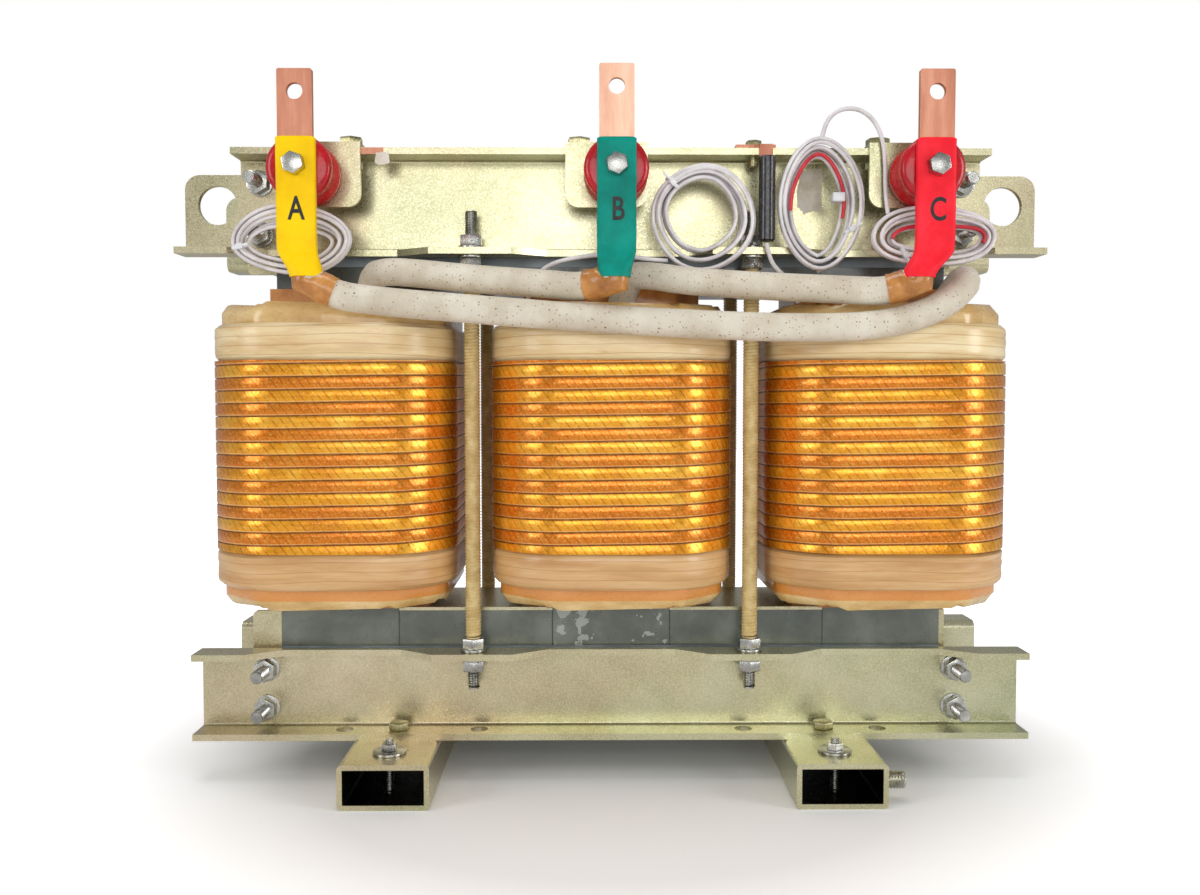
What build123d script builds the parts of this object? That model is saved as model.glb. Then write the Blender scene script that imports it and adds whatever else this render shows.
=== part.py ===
"""Open three-phase dry-type transformer: three wound coils on a three-leg core,
held between folded channel clamps, on two hollow cross feet."""
import os
from math import pi, radians, tan

from build123d import *

os.makedirs("parts", exist_ok=True)

# Driving dimensions, millimetres. X runs along the clamps, -Y is the front,
# z = 0 is the floor, and the origin is under the middle of the centre leg.

# Feet: rectangular hollow sections across the core
foot_width = 80
foot_height = 40
foot_wall = 5
foot_length = 320
foot_spacing = 398
foot_corner = 5

# Core
leg_pitch = 258
leg_width = 112
core_stack = 108
yoke_height = 114
window_height = 304
window_plate = 3

# Folded channel clamps
plate = 6
sheet = 1
flange_wide = 31
flange_narrow = 10
bend_radius = 8
lower_clamp_height = 80
lower_clamp_length = 774
upper_clamp_height = 95
upper_clamp_length = 792
upper_flange_length = 688
upper_clamp_rise = 10
ear_drop = 19
ear_corner = 14
lifting_hole = 36
lifting_edge = 30
lifting_height = 48
lobe_width = 72
lobe_slope = 33
end_lobe = 46
spare_hole = 16
spare_outer = 500
spare_inner = 248

# End angles that tie the clamps at the ends of the core
angle_plate = 5
angle_leg = 27
angle_length = 100

# M12 fixings
m12 = 12
m12_flats = 19
m12_nut = 10
m12_washer = 24
m12_washer_thick = 2.5
m12_hole = 13.5
m12_head = 7.5
running_clearance = 0.3
stud_projection = 24
corner_bolt_gap = 12
corner_bolt_low = 23
corner_bolt_step = 37
corner_bolt_high = 21
corner_bolt_drop = 47

# Tie rods between the clamps: steel studs in resin-glass sleeves
tie_sleeve = 15
tie_top_projection = 22
tie_bottom_projection = 16

# Coils
former_gap = 1
former_wall = 4
coil_width = 226
coil_depth = 246
coil_chamfer = 48
outer_build = 8
end_margin_low = 10
end_margin_high = 15
collar_inset = 20
collar_height = 33
turn_count = 15
turn_groove = 1.3
turn_groove_depth = 1.6
packer_width = 22
packer_length = 88
coil_corner = 9

# Foot fixings
m10 = 10
m10_flats = 17
m10_head = 7
m10_hole = 11
m8 = 8
m8_flats = 13
m8_nut = 6.5
m8_washer = 30
m8_washer_thick = 2.5
m8_hole = 9
anchor_inset = 33
earth_stud = 16
earth_stud_length = 18
earth_stud_inset = 18

# Terminals
terminal_pitch = 274
terminal_shift = 3
bracket_plate = 4
bracket_width = 74
bracket_short = 29
bracket_drop = 54
bracket_depth = 38
bracket_corner = 12
insulator_diameter = 57
insulator_waist = 47
insulator_length = 44
insulator_drop = 27
bar_width = 30
bar_thickness = 5
bar_rise = 54
bar_hole = 14
bar_hole_edge = 19
bar_tail = 100
sleeve_wall = 2
sleeve_drop = 3
sleeve_tail = 22

# Leads and wires
lead_diameter = 25
wire_diameter = 4
hank_thickness = 14
neutral_sleeve = 15
neutral_sleeve_length = 76
neutral_x = 139
clip_width = 36
clip_depth = 26
clip_height = 9
clip_thickness = 3

# Derived levels and planes
core_bottom = foot_height
window_bottom = core_bottom + yoke_height
window_top = window_bottom + window_height
core_top = window_top + yoke_height
core_front = core_stack / 2
core_end = leg_pitch + leg_width / 2
web_back = core_front + sheet
web_front = web_back + plate
flange_edge = web_front + flange_wide
flange_line = web_front + flange_wide / 2
lower_clamp_top = foot_height + lower_clamp_height
upper_clamp_top = core_top + upper_clamp_rise
upper_clamp_bottom = upper_clamp_top - upper_clamp_height
ear_top = upper_clamp_top - ear_drop
lifting_x = upper_clamp_length / 2 - lifting_edge
lifting_z = upper_clamp_bottom + lifting_height
rod_x = leg_pitch / 2
corner_bolt_x = core_end + corner_bolt_gap
lower_bolt_levels = (foot_height + corner_bolt_low, foot_height + corner_bolt_low + corner_bolt_step)
upper_bolt_levels = (
    upper_clamp_bottom + corner_bolt_high,
    upper_clamp_bottom + corner_bolt_high + corner_bolt_drop,
)
bolt_levels = lower_bolt_levels + upper_bolt_levels
coil_bottom = window_bottom + end_margin_low
coil_top = window_top - end_margin_high
outer_bottom = coil_bottom + collar_inset
outer_top = coil_top - collar_inset
foot_x = foot_spacing / 2
foot_end = foot_length / 2
anchor_y = foot_end - anchor_inset
phases = (("a", -1), ("b", 0), ("c", 1))
sides = (-1, 1)
bracket_hands = {"a": 1, "b": -1, "c": -1}
terminals = [(letter, terminal_shift + step * terminal_pitch) for letter, step in phases]
insulator_z = upper_clamp_top - insulator_drop
bracket_top = upper_clamp_top + bracket_plate
bracket_front = flange_edge + bracket_plate
bracket_bolt_offset = bracket_width - bracket_short - bracket_corner
bracket_bolts = [
    (x + bracket_hands[letter] * bracket_bolt_offset, -flange_line) for letter, x in terminals
]
clip_x = neutral_x - clip_width / 4


def finish(builder, name):
    """Label a finished piece and write it as its own STEP file."""
    builder.part.label = name
    export_step(builder.part, f"parts/{name}.step")


# ---------------------------------------------------------------- core
def core_block(name, x, width, bottom, height):
    """One pack of laminations, as a plain block centred on x."""
    with BuildPart() as block:
        with BuildSketch(Plane.XY.offset(bottom)):
            with Locations((x, 0)):
                Rectangle(width, core_stack)
        extrude(amount=height)
    finish(block, name)


for name, step in (("left", -1), ("centre", 0), ("right", 1)):
    core_block(f"core_leg_{name}", step * leg_pitch, leg_width, core_bottom, core_top - core_bottom)

window_width = leg_pitch - leg_width
for name, side in (("left", -1), ("right", 1)):
    core_block(f"core_yoke_lower_{name}", side * rod_x, window_width, core_bottom, yoke_height)
    core_block(f"core_yoke_upper_{name}", side * rod_x, window_width, window_top, yoke_height)

with BuildPart() as window_plates:
    with BuildSketch(Plane.XY.offset(window_bottom)):
        with Locations(*[(side * rod_x, 0) for side in sides]):
            Rectangle(window_width, core_stack)
    extrude(amount=window_plate)
finish(window_plates, "window_plates")

with BuildPart() as clamp_insulation:
    for bottom, top in (
        (foot_height + bend_radius, lower_clamp_top),
        (upper_clamp_bottom - bend_radius, core_top),
    ):
        with BuildSketch(Plane.XY.offset(bottom)):
            with Locations(*[(0, side * (core_front + sheet / 2)) for side in sides]):
                Rectangle(2 * core_end, sheet)
        extrude(amount=top - bottom)
finish(clamp_insulation, "clamp_insulation")


# -------------------------------------------------------------- clamps
def channel(bottom, top, length):
    """Folded channel: a web with a flange forward at each edge, run along X."""
    middle = (bottom + top) / 2
    with BuildSketch(Plane.YZ.offset(-length / 2)) as section:
        with Locations((-(web_back + flange_edge) / 2, middle)):
            Rectangle(flange_edge - web_back, top - bottom)
        outer = section.vertices().group_by(Axis.X)[-1]
        fillet(outer, bend_radius)
        with Locations((-(web_front + flange_edge) / 2 - plate / 2, middle)):
            Rectangle(flange_wide + plate, top - bottom - 2 * plate, mode=Mode.SUBTRACT)
        inner = section.vertices().filter_by_position(Axis.X, -web_front - 0.1, -web_front + 0.1)
        fillet(inner, bend_radius - plate)
    extrude(section.sketch, amount=length)


def scallop_points(length):
    """Plan of the flange edge between the lobes, one closed outline for each hollow."""
    shallow = -(web_front + flange_narrow)
    deep = -(flange_edge + 1)
    lobe_near = rod_x - lobe_width / 2
    lobe_far = rod_x + lobe_width / 2
    lobe_end = length / 2 - end_lobe
    centre = [(-lobe_near, deep), (-lobe_near + lobe_slope, shallow)]
    centre += [(-x, y) for x, y in reversed(centre)]
    outer = [(lobe_far, deep), (lobe_far + lobe_slope, shallow)]
    outer += [(lobe_end - lobe_slope, shallow), (lobe_end, deep)]
    return centre, outer, [(-x, y) for x, y in outer]


def cut_scallops(level, length):
    """Cut the hollows that clear the coils out of one flange."""
    for outline in scallop_points(length):
        with BuildSketch(Plane.XY.offset(level)) as hollow:
            with BuildLine():
                Polyline(*outline, close=True)
            make_face()
        extrude(hollow.sketch, amount=plate, mode=Mode.SUBTRACT)


def upright_holes(places, level, diameter):
    """Round holes down through a flange."""
    with BuildSketch(Plane.XY.offset(level)) as holes:
        with Locations(*places):
            Circle(diameter / 2)
    extrude(holes.sketch, amount=plate, mode=Mode.SUBTRACT)


def web_holes(places, diameter):
    """Round holes through the web, from front to back."""
    with BuildSketch(Plane.XZ.offset(web_back)) as holes:
        with Locations(*places):
            Circle(diameter / 2)
    extrude(holes.sketch, amount=plate, mode=Mode.SUBTRACT)


with BuildPart() as clamp_lower_front:
    channel(foot_height, lower_clamp_top, lower_clamp_length)
    cut_scallops(lower_clamp_top - plate, lower_clamp_length)
    upright_holes([(side * rod_x, -flange_line) for side in sides], lower_clamp_top - plate, m12_hole)
    upright_holes([(side * foot_x, -flange_line) for side in sides], foot_height, m10_hole)
    spare_places = [(side * span / 2, -flange_line) for side in sides for span in (spare_inner, spare_outer)]
    upright_holes(spare_places, foot_height, spare_hole)
    web_holes([(side * corner_bolt_x, z) for side in sides for z in lower_bolt_levels], m12_hole)
finish(clamp_lower_front, "clamp_lower_front")

with BuildPart() as clamp_upper_front:
    channel(upper_clamp_bottom, upper_clamp_top, upper_clamp_length)
    ear_length = (upper_clamp_length - upper_flange_length) / 2
    with BuildSketch(Plane.XZ):
        with Locations(*[(side * (upper_clamp_length - ear_length) / 2, ear_top) for side in sides]):
            Rectangle(ear_length, ear_drop, align=(Align.CENTER, Align.MIN))
    extrude(amount=flange_edge + 1, mode=Mode.SUBTRACT)
    cut_scallops(upper_clamp_bottom, upper_clamp_length)
    upright_holes([(side * rod_x, -flange_line) for side in sides], upper_clamp_bottom, m12_hole)
    upright_holes(bracket_bolts, upper_clamp_top - plate, m12_hole)
    upright_holes([(clip_x, -flange_line)], upper_clamp_top - plate, m8_hole)
    web_holes([(side * corner_bolt_x, z) for side in sides for z in upper_bolt_levels], m12_hole)
    web_holes([(side * lifting_x, lifting_z) for side in sides], lifting_hole)
    ear_edges = clamp_upper_front.edges().filter_by(Axis.Y).filter_by_position(Axis.Z, ear_top, ear_top)
    tips = [edge for edge in ear_edges if abs(edge.center().X) > upper_clamp_length / 2 - 1]
    fillet(tips, ear_corner)
finish(clamp_upper_front, "clamp_upper_front")

for front, name in ((clamp_lower_front, "clamp_lower_rear"), (clamp_upper_front, "clamp_upper_rear")):
    with BuildPart() as rear:
        mirror(front.part, about=Plane.XZ)
    finish(rear, name)


# ---------------------------------------------------------- end angles
def end_angle(name, side):
    """A short angle at each yoke's end, with its tab turned outwards behind one pair of clamps."""
    with BuildPart() as angle:
        for bottom in (window_bottom - angle_length, core_top - angle_length):
            with BuildSketch(Plane.XY.offset(bottom)):
                with Locations((side * (core_end + angle_plate / 2), 0)):
                    Rectangle(angle_plate, core_stack)
                with Locations((side * (core_end + angle_leg / 2), side * (core_front - angle_plate / 2))):
                    Rectangle(angle_leg, angle_plate)
            extrude(amount=angle_length)
        corners = angle.edges().filter_by(Axis.Y)
        tip = core_end + angle_leg
        fillet([edge for edge in corners if abs(edge.center().X) > tip - 1], angle_plate)
        with BuildSketch(Plane.XZ.offset(-side * core_front)):
            with Locations(*[(side * corner_bolt_x, z) for z in bolt_levels]):
                Circle(m12_hole / 2)
        extrude(amount=side * angle_plate, mode=Mode.SUBTRACT)
    finish(angle, name)


end_angle("end_angle_left", -1)
end_angle("end_angle_right", 1)


# --------------------------------------------------------------- coils
def coil_outline(inset=0, corner=0):
    """Plan of a coil at one depth in its build: a rectangle with its corners cut off."""
    with BuildSketch() as outline:
        Rectangle(coil_width - 2 * inset, coil_depth - 2 * inset)
        chamfer(outline.vertices(), coil_chamfer - inset / 2)
        if corner:
            fillet(outline.vertices(), corner)
    return outline.sketch


def ring(outside, inside, bottom, top):
    """Upright ring between two outlines, from one level to another."""
    with BuildPart() as band:
        with BuildSketch(Plane.XY.offset(bottom)):
            add(outside)
            add(inside, mode=Mode.SUBTRACT)
        extrude(amount=top - bottom)
    return band.part


former_bottom = window_bottom + window_plate
former_growth = 2 * (former_gap + former_wall)
with BuildSketch() as former_bore:
    Rectangle(leg_width + 2 * former_gap, core_stack + 2 * former_gap)
with BuildSketch() as former_outside:
    Rectangle(leg_width + former_growth, core_stack + former_growth)

turns_bottom = outer_bottom + collar_height
turns_top = outer_top - collar_height
turn_pitch = (turns_top - turns_bottom) / turn_count
build_face = coil_outline(outer_build, coil_corner)
former_shape = ring(former_outside.sketch, former_bore.sketch, former_bottom, window_top)
inner_shape = ring(build_face, former_outside.sketch, coil_bottom, coil_top)
groove_shape = ring(coil_outline(turn_groove_depth), build_face, turns_bottom, turns_top)
collar_face = coil_outline(corner=coil_corner)
collar_shapes = (
    ring(collar_face, build_face, outer_bottom, turns_bottom),
    ring(collar_face, build_face, turns_top, outer_top),
)

with BuildPart() as winding_turns:
    add(groove_shape)
    for turn in range(turn_count):
        level = turns_bottom + turn * turn_pitch + turn_groove / 2
        add(ring(coil_outline(), build_face, level, level + turn_pitch - turn_groove))

for letter, step in phases:
    coil_parts = (
        ("former", (former_shape,)),
        ("inner_winding", (inner_shape,)),
        ("outer_winding", (winding_turns.part,)),
        ("end_collars", collar_shapes),
    )
    for name, shapes in coil_parts:
        with BuildPart() as coil_part:
            with Locations((step * leg_pitch, 0, 0)):
                add(shapes)
        finish(coil_part, f"{name}_{letter}")

packer_x = leg_width / 2 + former_gap + former_wall + running_clearance + packer_width / 2
packer_places = [
    (leg * leg_pitch + side * packer_x, 0)
    for _, leg in phases
    for side in sides
    if abs(leg + side) < 2
]
with BuildPart() as coil_packers:
    for bottom, top in ((window_bottom + window_plate, coil_bottom), (coil_top, window_top)):
        with BuildSketch(Plane.XY.offset(bottom)):
            with Locations(*packer_places):
                Rectangle(packer_width, packer_length)
        extrude(amount=top - bottom)
finish(coil_packers, "coil_packers")


# ---------------------------------------------------------------- feet
def foot(name, x):
    """Hollow cross foot with holes for its clamp bolts and its anchor studs."""
    with BuildPart() as tube:
        with BuildSketch(Plane.XZ.offset(-foot_end)):
            with Locations((x, foot_height / 2)):
                RectangleRounded(foot_width, foot_height, foot_corner)
                RectangleRounded(
                    foot_width - 2 * foot_wall,
                    foot_height - 2 * foot_wall,
                    foot_corner - foot_wall / 2,
                    mode=Mode.SUBTRACT,
                )
        extrude(amount=foot_length)
        for reach, diameter in ((flange_line, m10_hole), (anchor_y, m8_hole)):
            with BuildSketch(Plane.XY.offset(foot_height)):
                with Locations(*[(x, side * reach) for side in sides]):
                    Circle(diameter / 2)
            extrude(amount=-foot_wall, mode=Mode.SUBTRACT)
    finish(tube, name)


foot("foot_left", -foot_x)
foot("foot_right", foot_x)

with BuildPart() as earthing_stud:
    with BuildSketch(Plane.YZ.offset(foot_x + foot_width / 2)):
        with Locations((-(foot_end - earth_stud_inset), foot_height / 2)):
            Circle(earth_stud / 2)
    extrude(amount=earth_stud_length)
    chamfer(earthing_stud.edges().filter_by(GeomType.CIRCLE).sort_by(Axis.X)[-1], 1)
finish(earthing_stud, "earth_stud")


# ----------------------------------------------------------- fasteners
def hex_block(flats, height, bore=0):
    """Hexagon block standing on the XY plane: a nut if bored, a head if not."""
    with BuildPart() as block:
        with BuildSketch():
            RegularPolygon(flats / 2, 6, major_radius=False)
            if bore:
                Circle(bore / 2 + running_clearance, mode=Mode.SUBTRACT)
        extrude(amount=height)
    return block.part


def hex_bolt(diameter, flats, head, length):
    """Bolt with its head standing on the XY plane and its shank hanging below."""
    with BuildPart() as bolt:
        add(hex_block(flats, head))
        with BuildSketch():
            Circle(diameter / 2)
        extrude(amount=-length)
    return bolt.part


def flat_washer(outside, bore, thickness):
    """Flat washer lying on the XY plane."""
    with BuildPart() as washer:
        with BuildSketch():
            Circle(outside / 2)
            Circle(bore / 2 + running_clearance, mode=Mode.SUBTRACT)
        extrude(amount=thickness)
    return washer.part


def group(name, *sets):
    """Write like fasteners as one node: each set is a shape and the places it stands at."""
    with BuildPart() as fasteners:
        for shape, places in sets:
            with Locations(*places):
                add(shape)
    finish(fasteners, name)


def upright(x, y, z):
    """A place whose axis points up."""
    return Location((x, y, z))


def facing(x, y, z, side):
    """A place whose axis points out of the front (-1) or the rear (1)."""
    return Location((x, y, z), (-side * 90, 0, 0))


tie_places = [(x * rod_x, y * flange_line) for x in sides for y in sides]
foot_places = [(x * foot_x, y * flange_line) for x in sides for y in sides]
anchor_places = [(x * foot_x, y * anchor_y) for x in sides for y in sides]
upper_flange_top = upper_clamp_bottom + plate
lower_flange_bottom = lower_clamp_top - plate
tie_washer_levels = (
    upper_flange_top,
    upper_clamp_bottom - m12_washer_thick,
    lower_clamp_top,
    lower_flange_bottom - m12_washer_thick,
)
tie_nut_levels = (
    upper_flange_top + m12_washer_thick,
    upper_clamp_bottom - m12_washer_thick - m12_nut,
    lower_clamp_top + m12_washer_thick,
    lower_flange_bottom - m12_washer_thick - m12_nut,
)
sleeve_bottom = tie_nut_levels[2] + m12_nut
sleeve_top = tie_nut_levels[1]
stud_bottom = tie_nut_levels[3] - tie_bottom_projection
stud_top = tie_nut_levels[0] + m12_nut + tie_top_projection

with BuildPart() as tie_studs:
    with BuildSketch(Plane.XY.offset(stud_bottom)):
        with Locations(*tie_places):
            Circle(m12 / 2)
    extrude(amount=stud_top - stud_bottom)
finish(tie_studs, "tie_studs")

with BuildPart() as tie_sleeves:
    with BuildSketch(Plane.XY.offset(sleeve_bottom)):
        with Locations(*tie_places):
            Circle(tie_sleeve / 2)
            Circle(m12 / 2 + running_clearance, mode=Mode.SUBTRACT)
    extrude(amount=sleeve_top - sleeve_bottom)
finish(tie_sleeves, "tie_sleeves")

corner_seats = [
    (x * corner_bolt_x, side * web_front, z, side) for x in sides for side in sides for z in bolt_levels
]
clamp_bolt_length = 2 * (web_front + m12_washer_thick) + m12_nut + stud_projection
clamp_bolt = hex_bolt(m12, m12_flats, m12_head, clamp_bolt_length)
rear_seat = web_front + m12_washer_thick
group(
    "clamp_bolts",
    (clamp_bolt, [facing(x * corner_bolt_x, rear_seat, z, 1) for x in sides for z in bolt_levels]),
)

m12_nut_shape = hex_block(m12_flats, m12_nut, m12)
group(
    "hex_nuts",
    (m12_nut_shape, [upright(x, y, z) for x, y in tie_places for z in tie_nut_levels]),
    (m12_nut_shape, [facing(x * corner_bolt_x, -rear_seat, z, -1) for x in sides for z in bolt_levels]),
    (m12_nut_shape, [upright(x, y, upper_clamp_top - plate - m12_nut) for x, y in bracket_bolts]),
    (
        hex_block(m10_flats, m10_head, m10),
        [upright(x, y, foot_height - foot_wall - m10_head) for x, y in foot_places],
    ),
    (
        hex_block(m8_flats, m8_nut, m8),
        [upright(x, y, foot_height + m8_washer_thick) for x, y in anchor_places],
    ),
)
m12_washer_shape = flat_washer(m12_washer, m12, m12_washer_thick)
group(
    "flat_washers",
    (m12_washer_shape, [upright(x, y, z) for x, y in tie_places for z in tie_washer_levels]),
    (m12_washer_shape, [facing(*seat) for seat in corner_seats]),
    (
        flat_washer(m8_washer, m8, m8_washer_thick),
        [upright(x, y, foot_height) for x, y in anchor_places],
    ),
)
foot_bolt = hex_bolt(m10, m10_flats, m10_head, plate + foot_wall + m10_head)
group("foot_bolts", (foot_bolt, [upright(x, y, foot_height + plate) for x, y in foot_places]))

anchor_top = foot_height + m8_washer_thick + m8_nut + m8 / 2
with BuildPart() as anchor_studs:
    with BuildSketch(Plane.XY.offset(foot_wall)):
        with Locations(*anchor_places):
            Circle(m8 / 2)
    extrude(amount=anchor_top - foot_wall)
finish(anchor_studs, "anchor_studs")

# ----------------------------------------------------------- terminals
with BuildPart() as terminal_brackets:
    for letter, x in terminals:
        hand = bracket_hands[letter]
        middle = x + hand * (bracket_width / 2 - bracket_short)
        with BuildSketch(Plane.XZ.offset(flange_edge)) as plate_face:
            with Locations((middle, upper_clamp_top)):
                Rectangle(bracket_width, bracket_drop, align=(Align.CENTER, Align.MAX))
            fillet(plate_face.vertices().group_by(Axis.Y)[0], bracket_corner)
        extrude(amount=bracket_plate)
        with BuildSketch(Plane.XY.offset(upper_clamp_top)):
            with Locations((middle, -bracket_front)):
                Rectangle(bracket_width, bracket_depth, align=(Align.CENTER, Align.MIN))
        extrude(amount=bracket_plate)
    with BuildSketch(Plane.XY.offset(upper_clamp_top)):
        with Locations(*bracket_bolts):
            Circle(m12_hole / 2)
    extrude(amount=bracket_plate, mode=Mode.SUBTRACT)
    with BuildSketch(Plane.XZ.offset(flange_edge)):
        with Locations(*[(x, insulator_z) for _, x in terminals]):
            Circle(m12_hole / 2)
    extrude(amount=bracket_plate, mode=Mode.SUBTRACT)
finish(terminal_brackets, "terminal_brackets")

insulator_front = bracket_front + insulator_length
insert_depth = insulator_length / 3
with BuildPart() as insulator:
    with BuildSketch(Plane.XZ):
        with BuildLine():
            Polyline(
                (0, 0),
                (insulator_diameter / 2, 0),
                (insulator_diameter / 2, insulator_length * 0.28),
                (insulator_waist / 2, insulator_length * 0.4),
                (insulator_waist / 2, insulator_length * 0.6),
                (insulator_diameter / 2, insulator_length * 0.72),
                (insulator_diameter / 2, insulator_length),
                (0, insulator_length),
                close=True,
            )
        make_face()
    revolve(axis=Axis.Z)
    rims = insulator.edges().filter_by(GeomType.CIRCLE).sort_by(Axis.Z)
    chamfer([rims[0], rims[-1]], 2)
    for level, direction in ((0, 1), (insulator_length, -1)):
        with BuildSketch(Plane.XY.offset(level)):
            Circle(m12 / 2 + running_clearance)
        extrude(amount=direction * insert_depth, mode=Mode.SUBTRACT)
group("insulators", (insulator.part, [facing(x, -bracket_front, insulator_z, -1) for _, x in terminals]))

bar_back = insulator_front + sleeve_wall
bar_front = bar_back + bar_thickness
sleeve_front = bar_front + sleeve_wall
bar_lifts = {"a": 0, "b": 5, "c": 1}
sleeve_leans = {"a": 8, "b": -2, "c": -14}
sleeve_top_z = upper_clamp_top - sleeve_drop
sleeve_neck = insulator_z - bar_tail + sleeve_tail + 5
sleeve_end = sleeve_neck - sleeve_tail
sleeve_middle = (bar_back + bar_front) / 2

for letter, x in terminals:
    bar_top = upper_clamp_top + bar_rise + bar_lifts[letter]
    with BuildPart() as bar:
        with BuildSketch(Plane.XZ.offset(bar_back)) as face:
            with Locations((x, (bar_top + sleeve_neck) / 2)):
                Rectangle(bar_width, bar_top - sleeve_neck)
            fillet(face.vertices().group_by(Axis.Y)[-1], 2)
            with Locations((x, bar_top - bar_hole_edge)):
                Circle(bar_hole / 2, mode=Mode.SUBTRACT)
            with Locations((x, insulator_z)):
                Circle(m12_hole / 2, mode=Mode.SUBTRACT)
        extrude(amount=bar_thickness)
    finish(bar, f"terminal_bar_{letter}")

    with BuildPart() as phase_sleeve:
        with BuildSketch(Plane.XY.offset(sleeve_top_z)):
            with Locations((x, -sleeve_middle)):
                RectangleRounded(bar_width + 2 * sleeve_wall, bar_thickness + 2 * sleeve_wall, 2)
        extrude(amount=sleeve_neck - sleeve_top_z)
        with BuildSketch(Plane.XY.offset(sleeve_neck)):
            with Locations((x, -sleeve_middle)):
                RectangleRounded(bar_width + 2 * sleeve_wall, bar_thickness + 2 * sleeve_wall, 2)
        with BuildSketch(Plane.XY.offset(sleeve_end)):
            with Locations((x + sleeve_leans[letter], -sleeve_middle)):
                RectangleRounded(lead_diameter + 4, lead_diameter + 2, lead_diameter / 2 - 1)
        loft()
        add(bar.part, mode=Mode.SUBTRACT)
        with BuildSketch(Plane.XZ.offset(insulator_front)):
            with Locations((x, insulator_z)):
                Circle(m12_hole / 2)
        extrude(amount=sleeve_front - insulator_front, mode=Mode.SUBTRACT)
    finish(phase_sleeve, f"phase_sleeve_{letter}")

terminal_washer = flat_washer(m12_washer, m12, m12_washer_thick)
terminal_bolt = hex_bolt(m12, m12_flats, m12_head, 20)
terminal_seat = sleeve_front + m12_washer_thick
group(
    "terminal_bolts",
    (terminal_washer, [facing(x, -sleeve_front, insulator_z, -1) for _, x in terminals]),
    (terminal_bolt, [facing(x, -terminal_seat, insulator_z, -1) for _, x in terminals]),
)

clip_top = upper_clamp_top + clip_thickness
m8_shank = clip_thickness + plate + m8
insulator_screw = hex_bolt(m12, m12_flats, m12_head, bracket_plate + insert_depth - 1)
group(
    "flange_bolts",
    (hex_bolt(m12, m12_flats, m12_head, 24), [upright(x, y, bracket_top) for x, y in bracket_bolts]),
    (insulator_screw, [facing(x, -flange_edge, insulator_z, 1) for _, x in terminals]),
    (hex_bolt(m8, m8_flats, m8_nut, m8_shank), [upright(clip_x, -flange_line, clip_top)]),
)

with BuildPart() as neutral_clip:
    with BuildSketch(Plane.XY.offset(upper_clamp_top)):
        with Locations((clip_x, -flange_edge)):
            Rectangle(clip_width, clip_depth, align=(Align.CENTER, Align.MIN))
        with Locations((neutral_x, -flange_edge - clip_thickness / 2)):
            Rectangle(neutral_sleeve * 0.8, clip_thickness)
        with Locations((clip_x, -flange_line)):
            Circle(m8_hole / 2, mode=Mode.SUBTRACT)
    extrude(amount=clip_thickness)
    with BuildSketch(Plane.XY.offset(upper_clamp_top)):
        with Locations((neutral_x, -flange_edge - clip_thickness / 2)):
            Rectangle(neutral_sleeve * 0.8, clip_thickness)
    extrude(amount=-clip_height)
finish(neutral_clip, "neutral_clip")

sleeve_y = flange_edge + running_clearance + neutral_sleeve / 2
with BuildPart() as neutral_cover:
    with BuildSketch(Plane.XY.offset(upper_clamp_top - clip_height)) as cover_face:
        with Locations((neutral_x, -sleeve_y)):
            Circle(neutral_sleeve / 2)
    extrude(amount=-neutral_sleeve_length)
    chamfer(neutral_cover.edges().filter_by(GeomType.CIRCLE), 1.5)
finish(neutral_cover, "neutral_sleeve")

# ---------------------------------------------------- leads and wires
def corner_radii(points):
    """Arc radius at each corner of a route: as large as its two runs leave room for."""
    radii = []
    for before, here, after in zip(points, points[1:], points[2:]):
        run_in = Vector(*here) - Vector(*before)
        run_out = Vector(*after) - Vector(*here)
        half_turn = radians(run_in.get_angle(run_out)) / 2
        radii.append(0.45 * min(run_in.length, run_out.length) / tan(half_turn))
    return radii


def tube(name, points, diameter, seat=None, top=None):
    """Round cord along a route, cut flat under its sleeve and where it sits on a coil."""
    radii = corner_radii(points)
    with BuildPart() as cord:
        with BuildLine() as route:
            FilletPolyline(*points, radius=radii)
        path = route.wires()[0]
        with BuildSketch(Plane(origin=path @ 0, z_dir=path % 0)):
            Circle(diameter / 2)
        sweep()
        block = 2 * diameter
        if top is not None:
            with Locations((points[0][0], points[0][1], top)):
                Box(block, block, block, align=(Align.CENTER, Align.CENTER, Align.MIN), mode=Mode.SUBTRACT)
        if seat is not None:
            with Locations((points[-1][0], points[-1][1], seat)):
                Box(block, block, block, align=(Align.CENTER, Align.CENTER, Align.MAX), mode=Mode.SUBTRACT)
    finish(cord, name)
    ratio = cord.part.volume / (pi * diameter**2 / 4 * path.length)
    print(name, "radii", [round(radius) for radius in radii], "filled", round(ratio, 3))


lead_start = (-sleeve_middle, sleeve_end)
lead_routes = {
    "a": [
        (-246, -141, 446), (-204, -138, 440), (-118, -137.5, 433), (-26, -138, 426), (62, -137.5, 421),
        (154, -138, 417), (238, -137.5, 419), (288, -136, 436), (314, -122, 457), (318, -94, 467),
        (306, -73, 440),
    ],
    "b": [
        (-20, -134, 452), (-61, -122, 457), (-114, -114, 461), (-172, -110, 467), (-204, -102, 470),
        (-220, -86, 466), (-224, -72, 438),
    ],
    "c": [
        (246, -134, 449), (206, -129, 451), (139, -118, 455), (66, -113, 460), (34, -106, 466),
        (14, -90, 467), (8, -74, 438),
    ],
}
for letter, x in terminals:
    start = (x + sleeve_leans[letter], *lead_start)
    tube(f"lead_{letter}", [start] + lead_routes[letter], lead_diameter, coil_top, sleeve_end)


def hank(name, x, z, half_width, half_height, back):
    """Flat oval hank of wire standing just in front of what holds it up."""
    with BuildPart() as loop:
        with BuildSketch(Plane.XZ.offset(back + running_clearance)):
            with Locations((x, z)):
                Ellipse(half_width, half_height)
                Ellipse(half_width - hank_thickness, half_height - hank_thickness, mode=Mode.SUBTRACT)
        extrude(amount=hank_thickness - 2)
    finish(loop, name)


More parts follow.
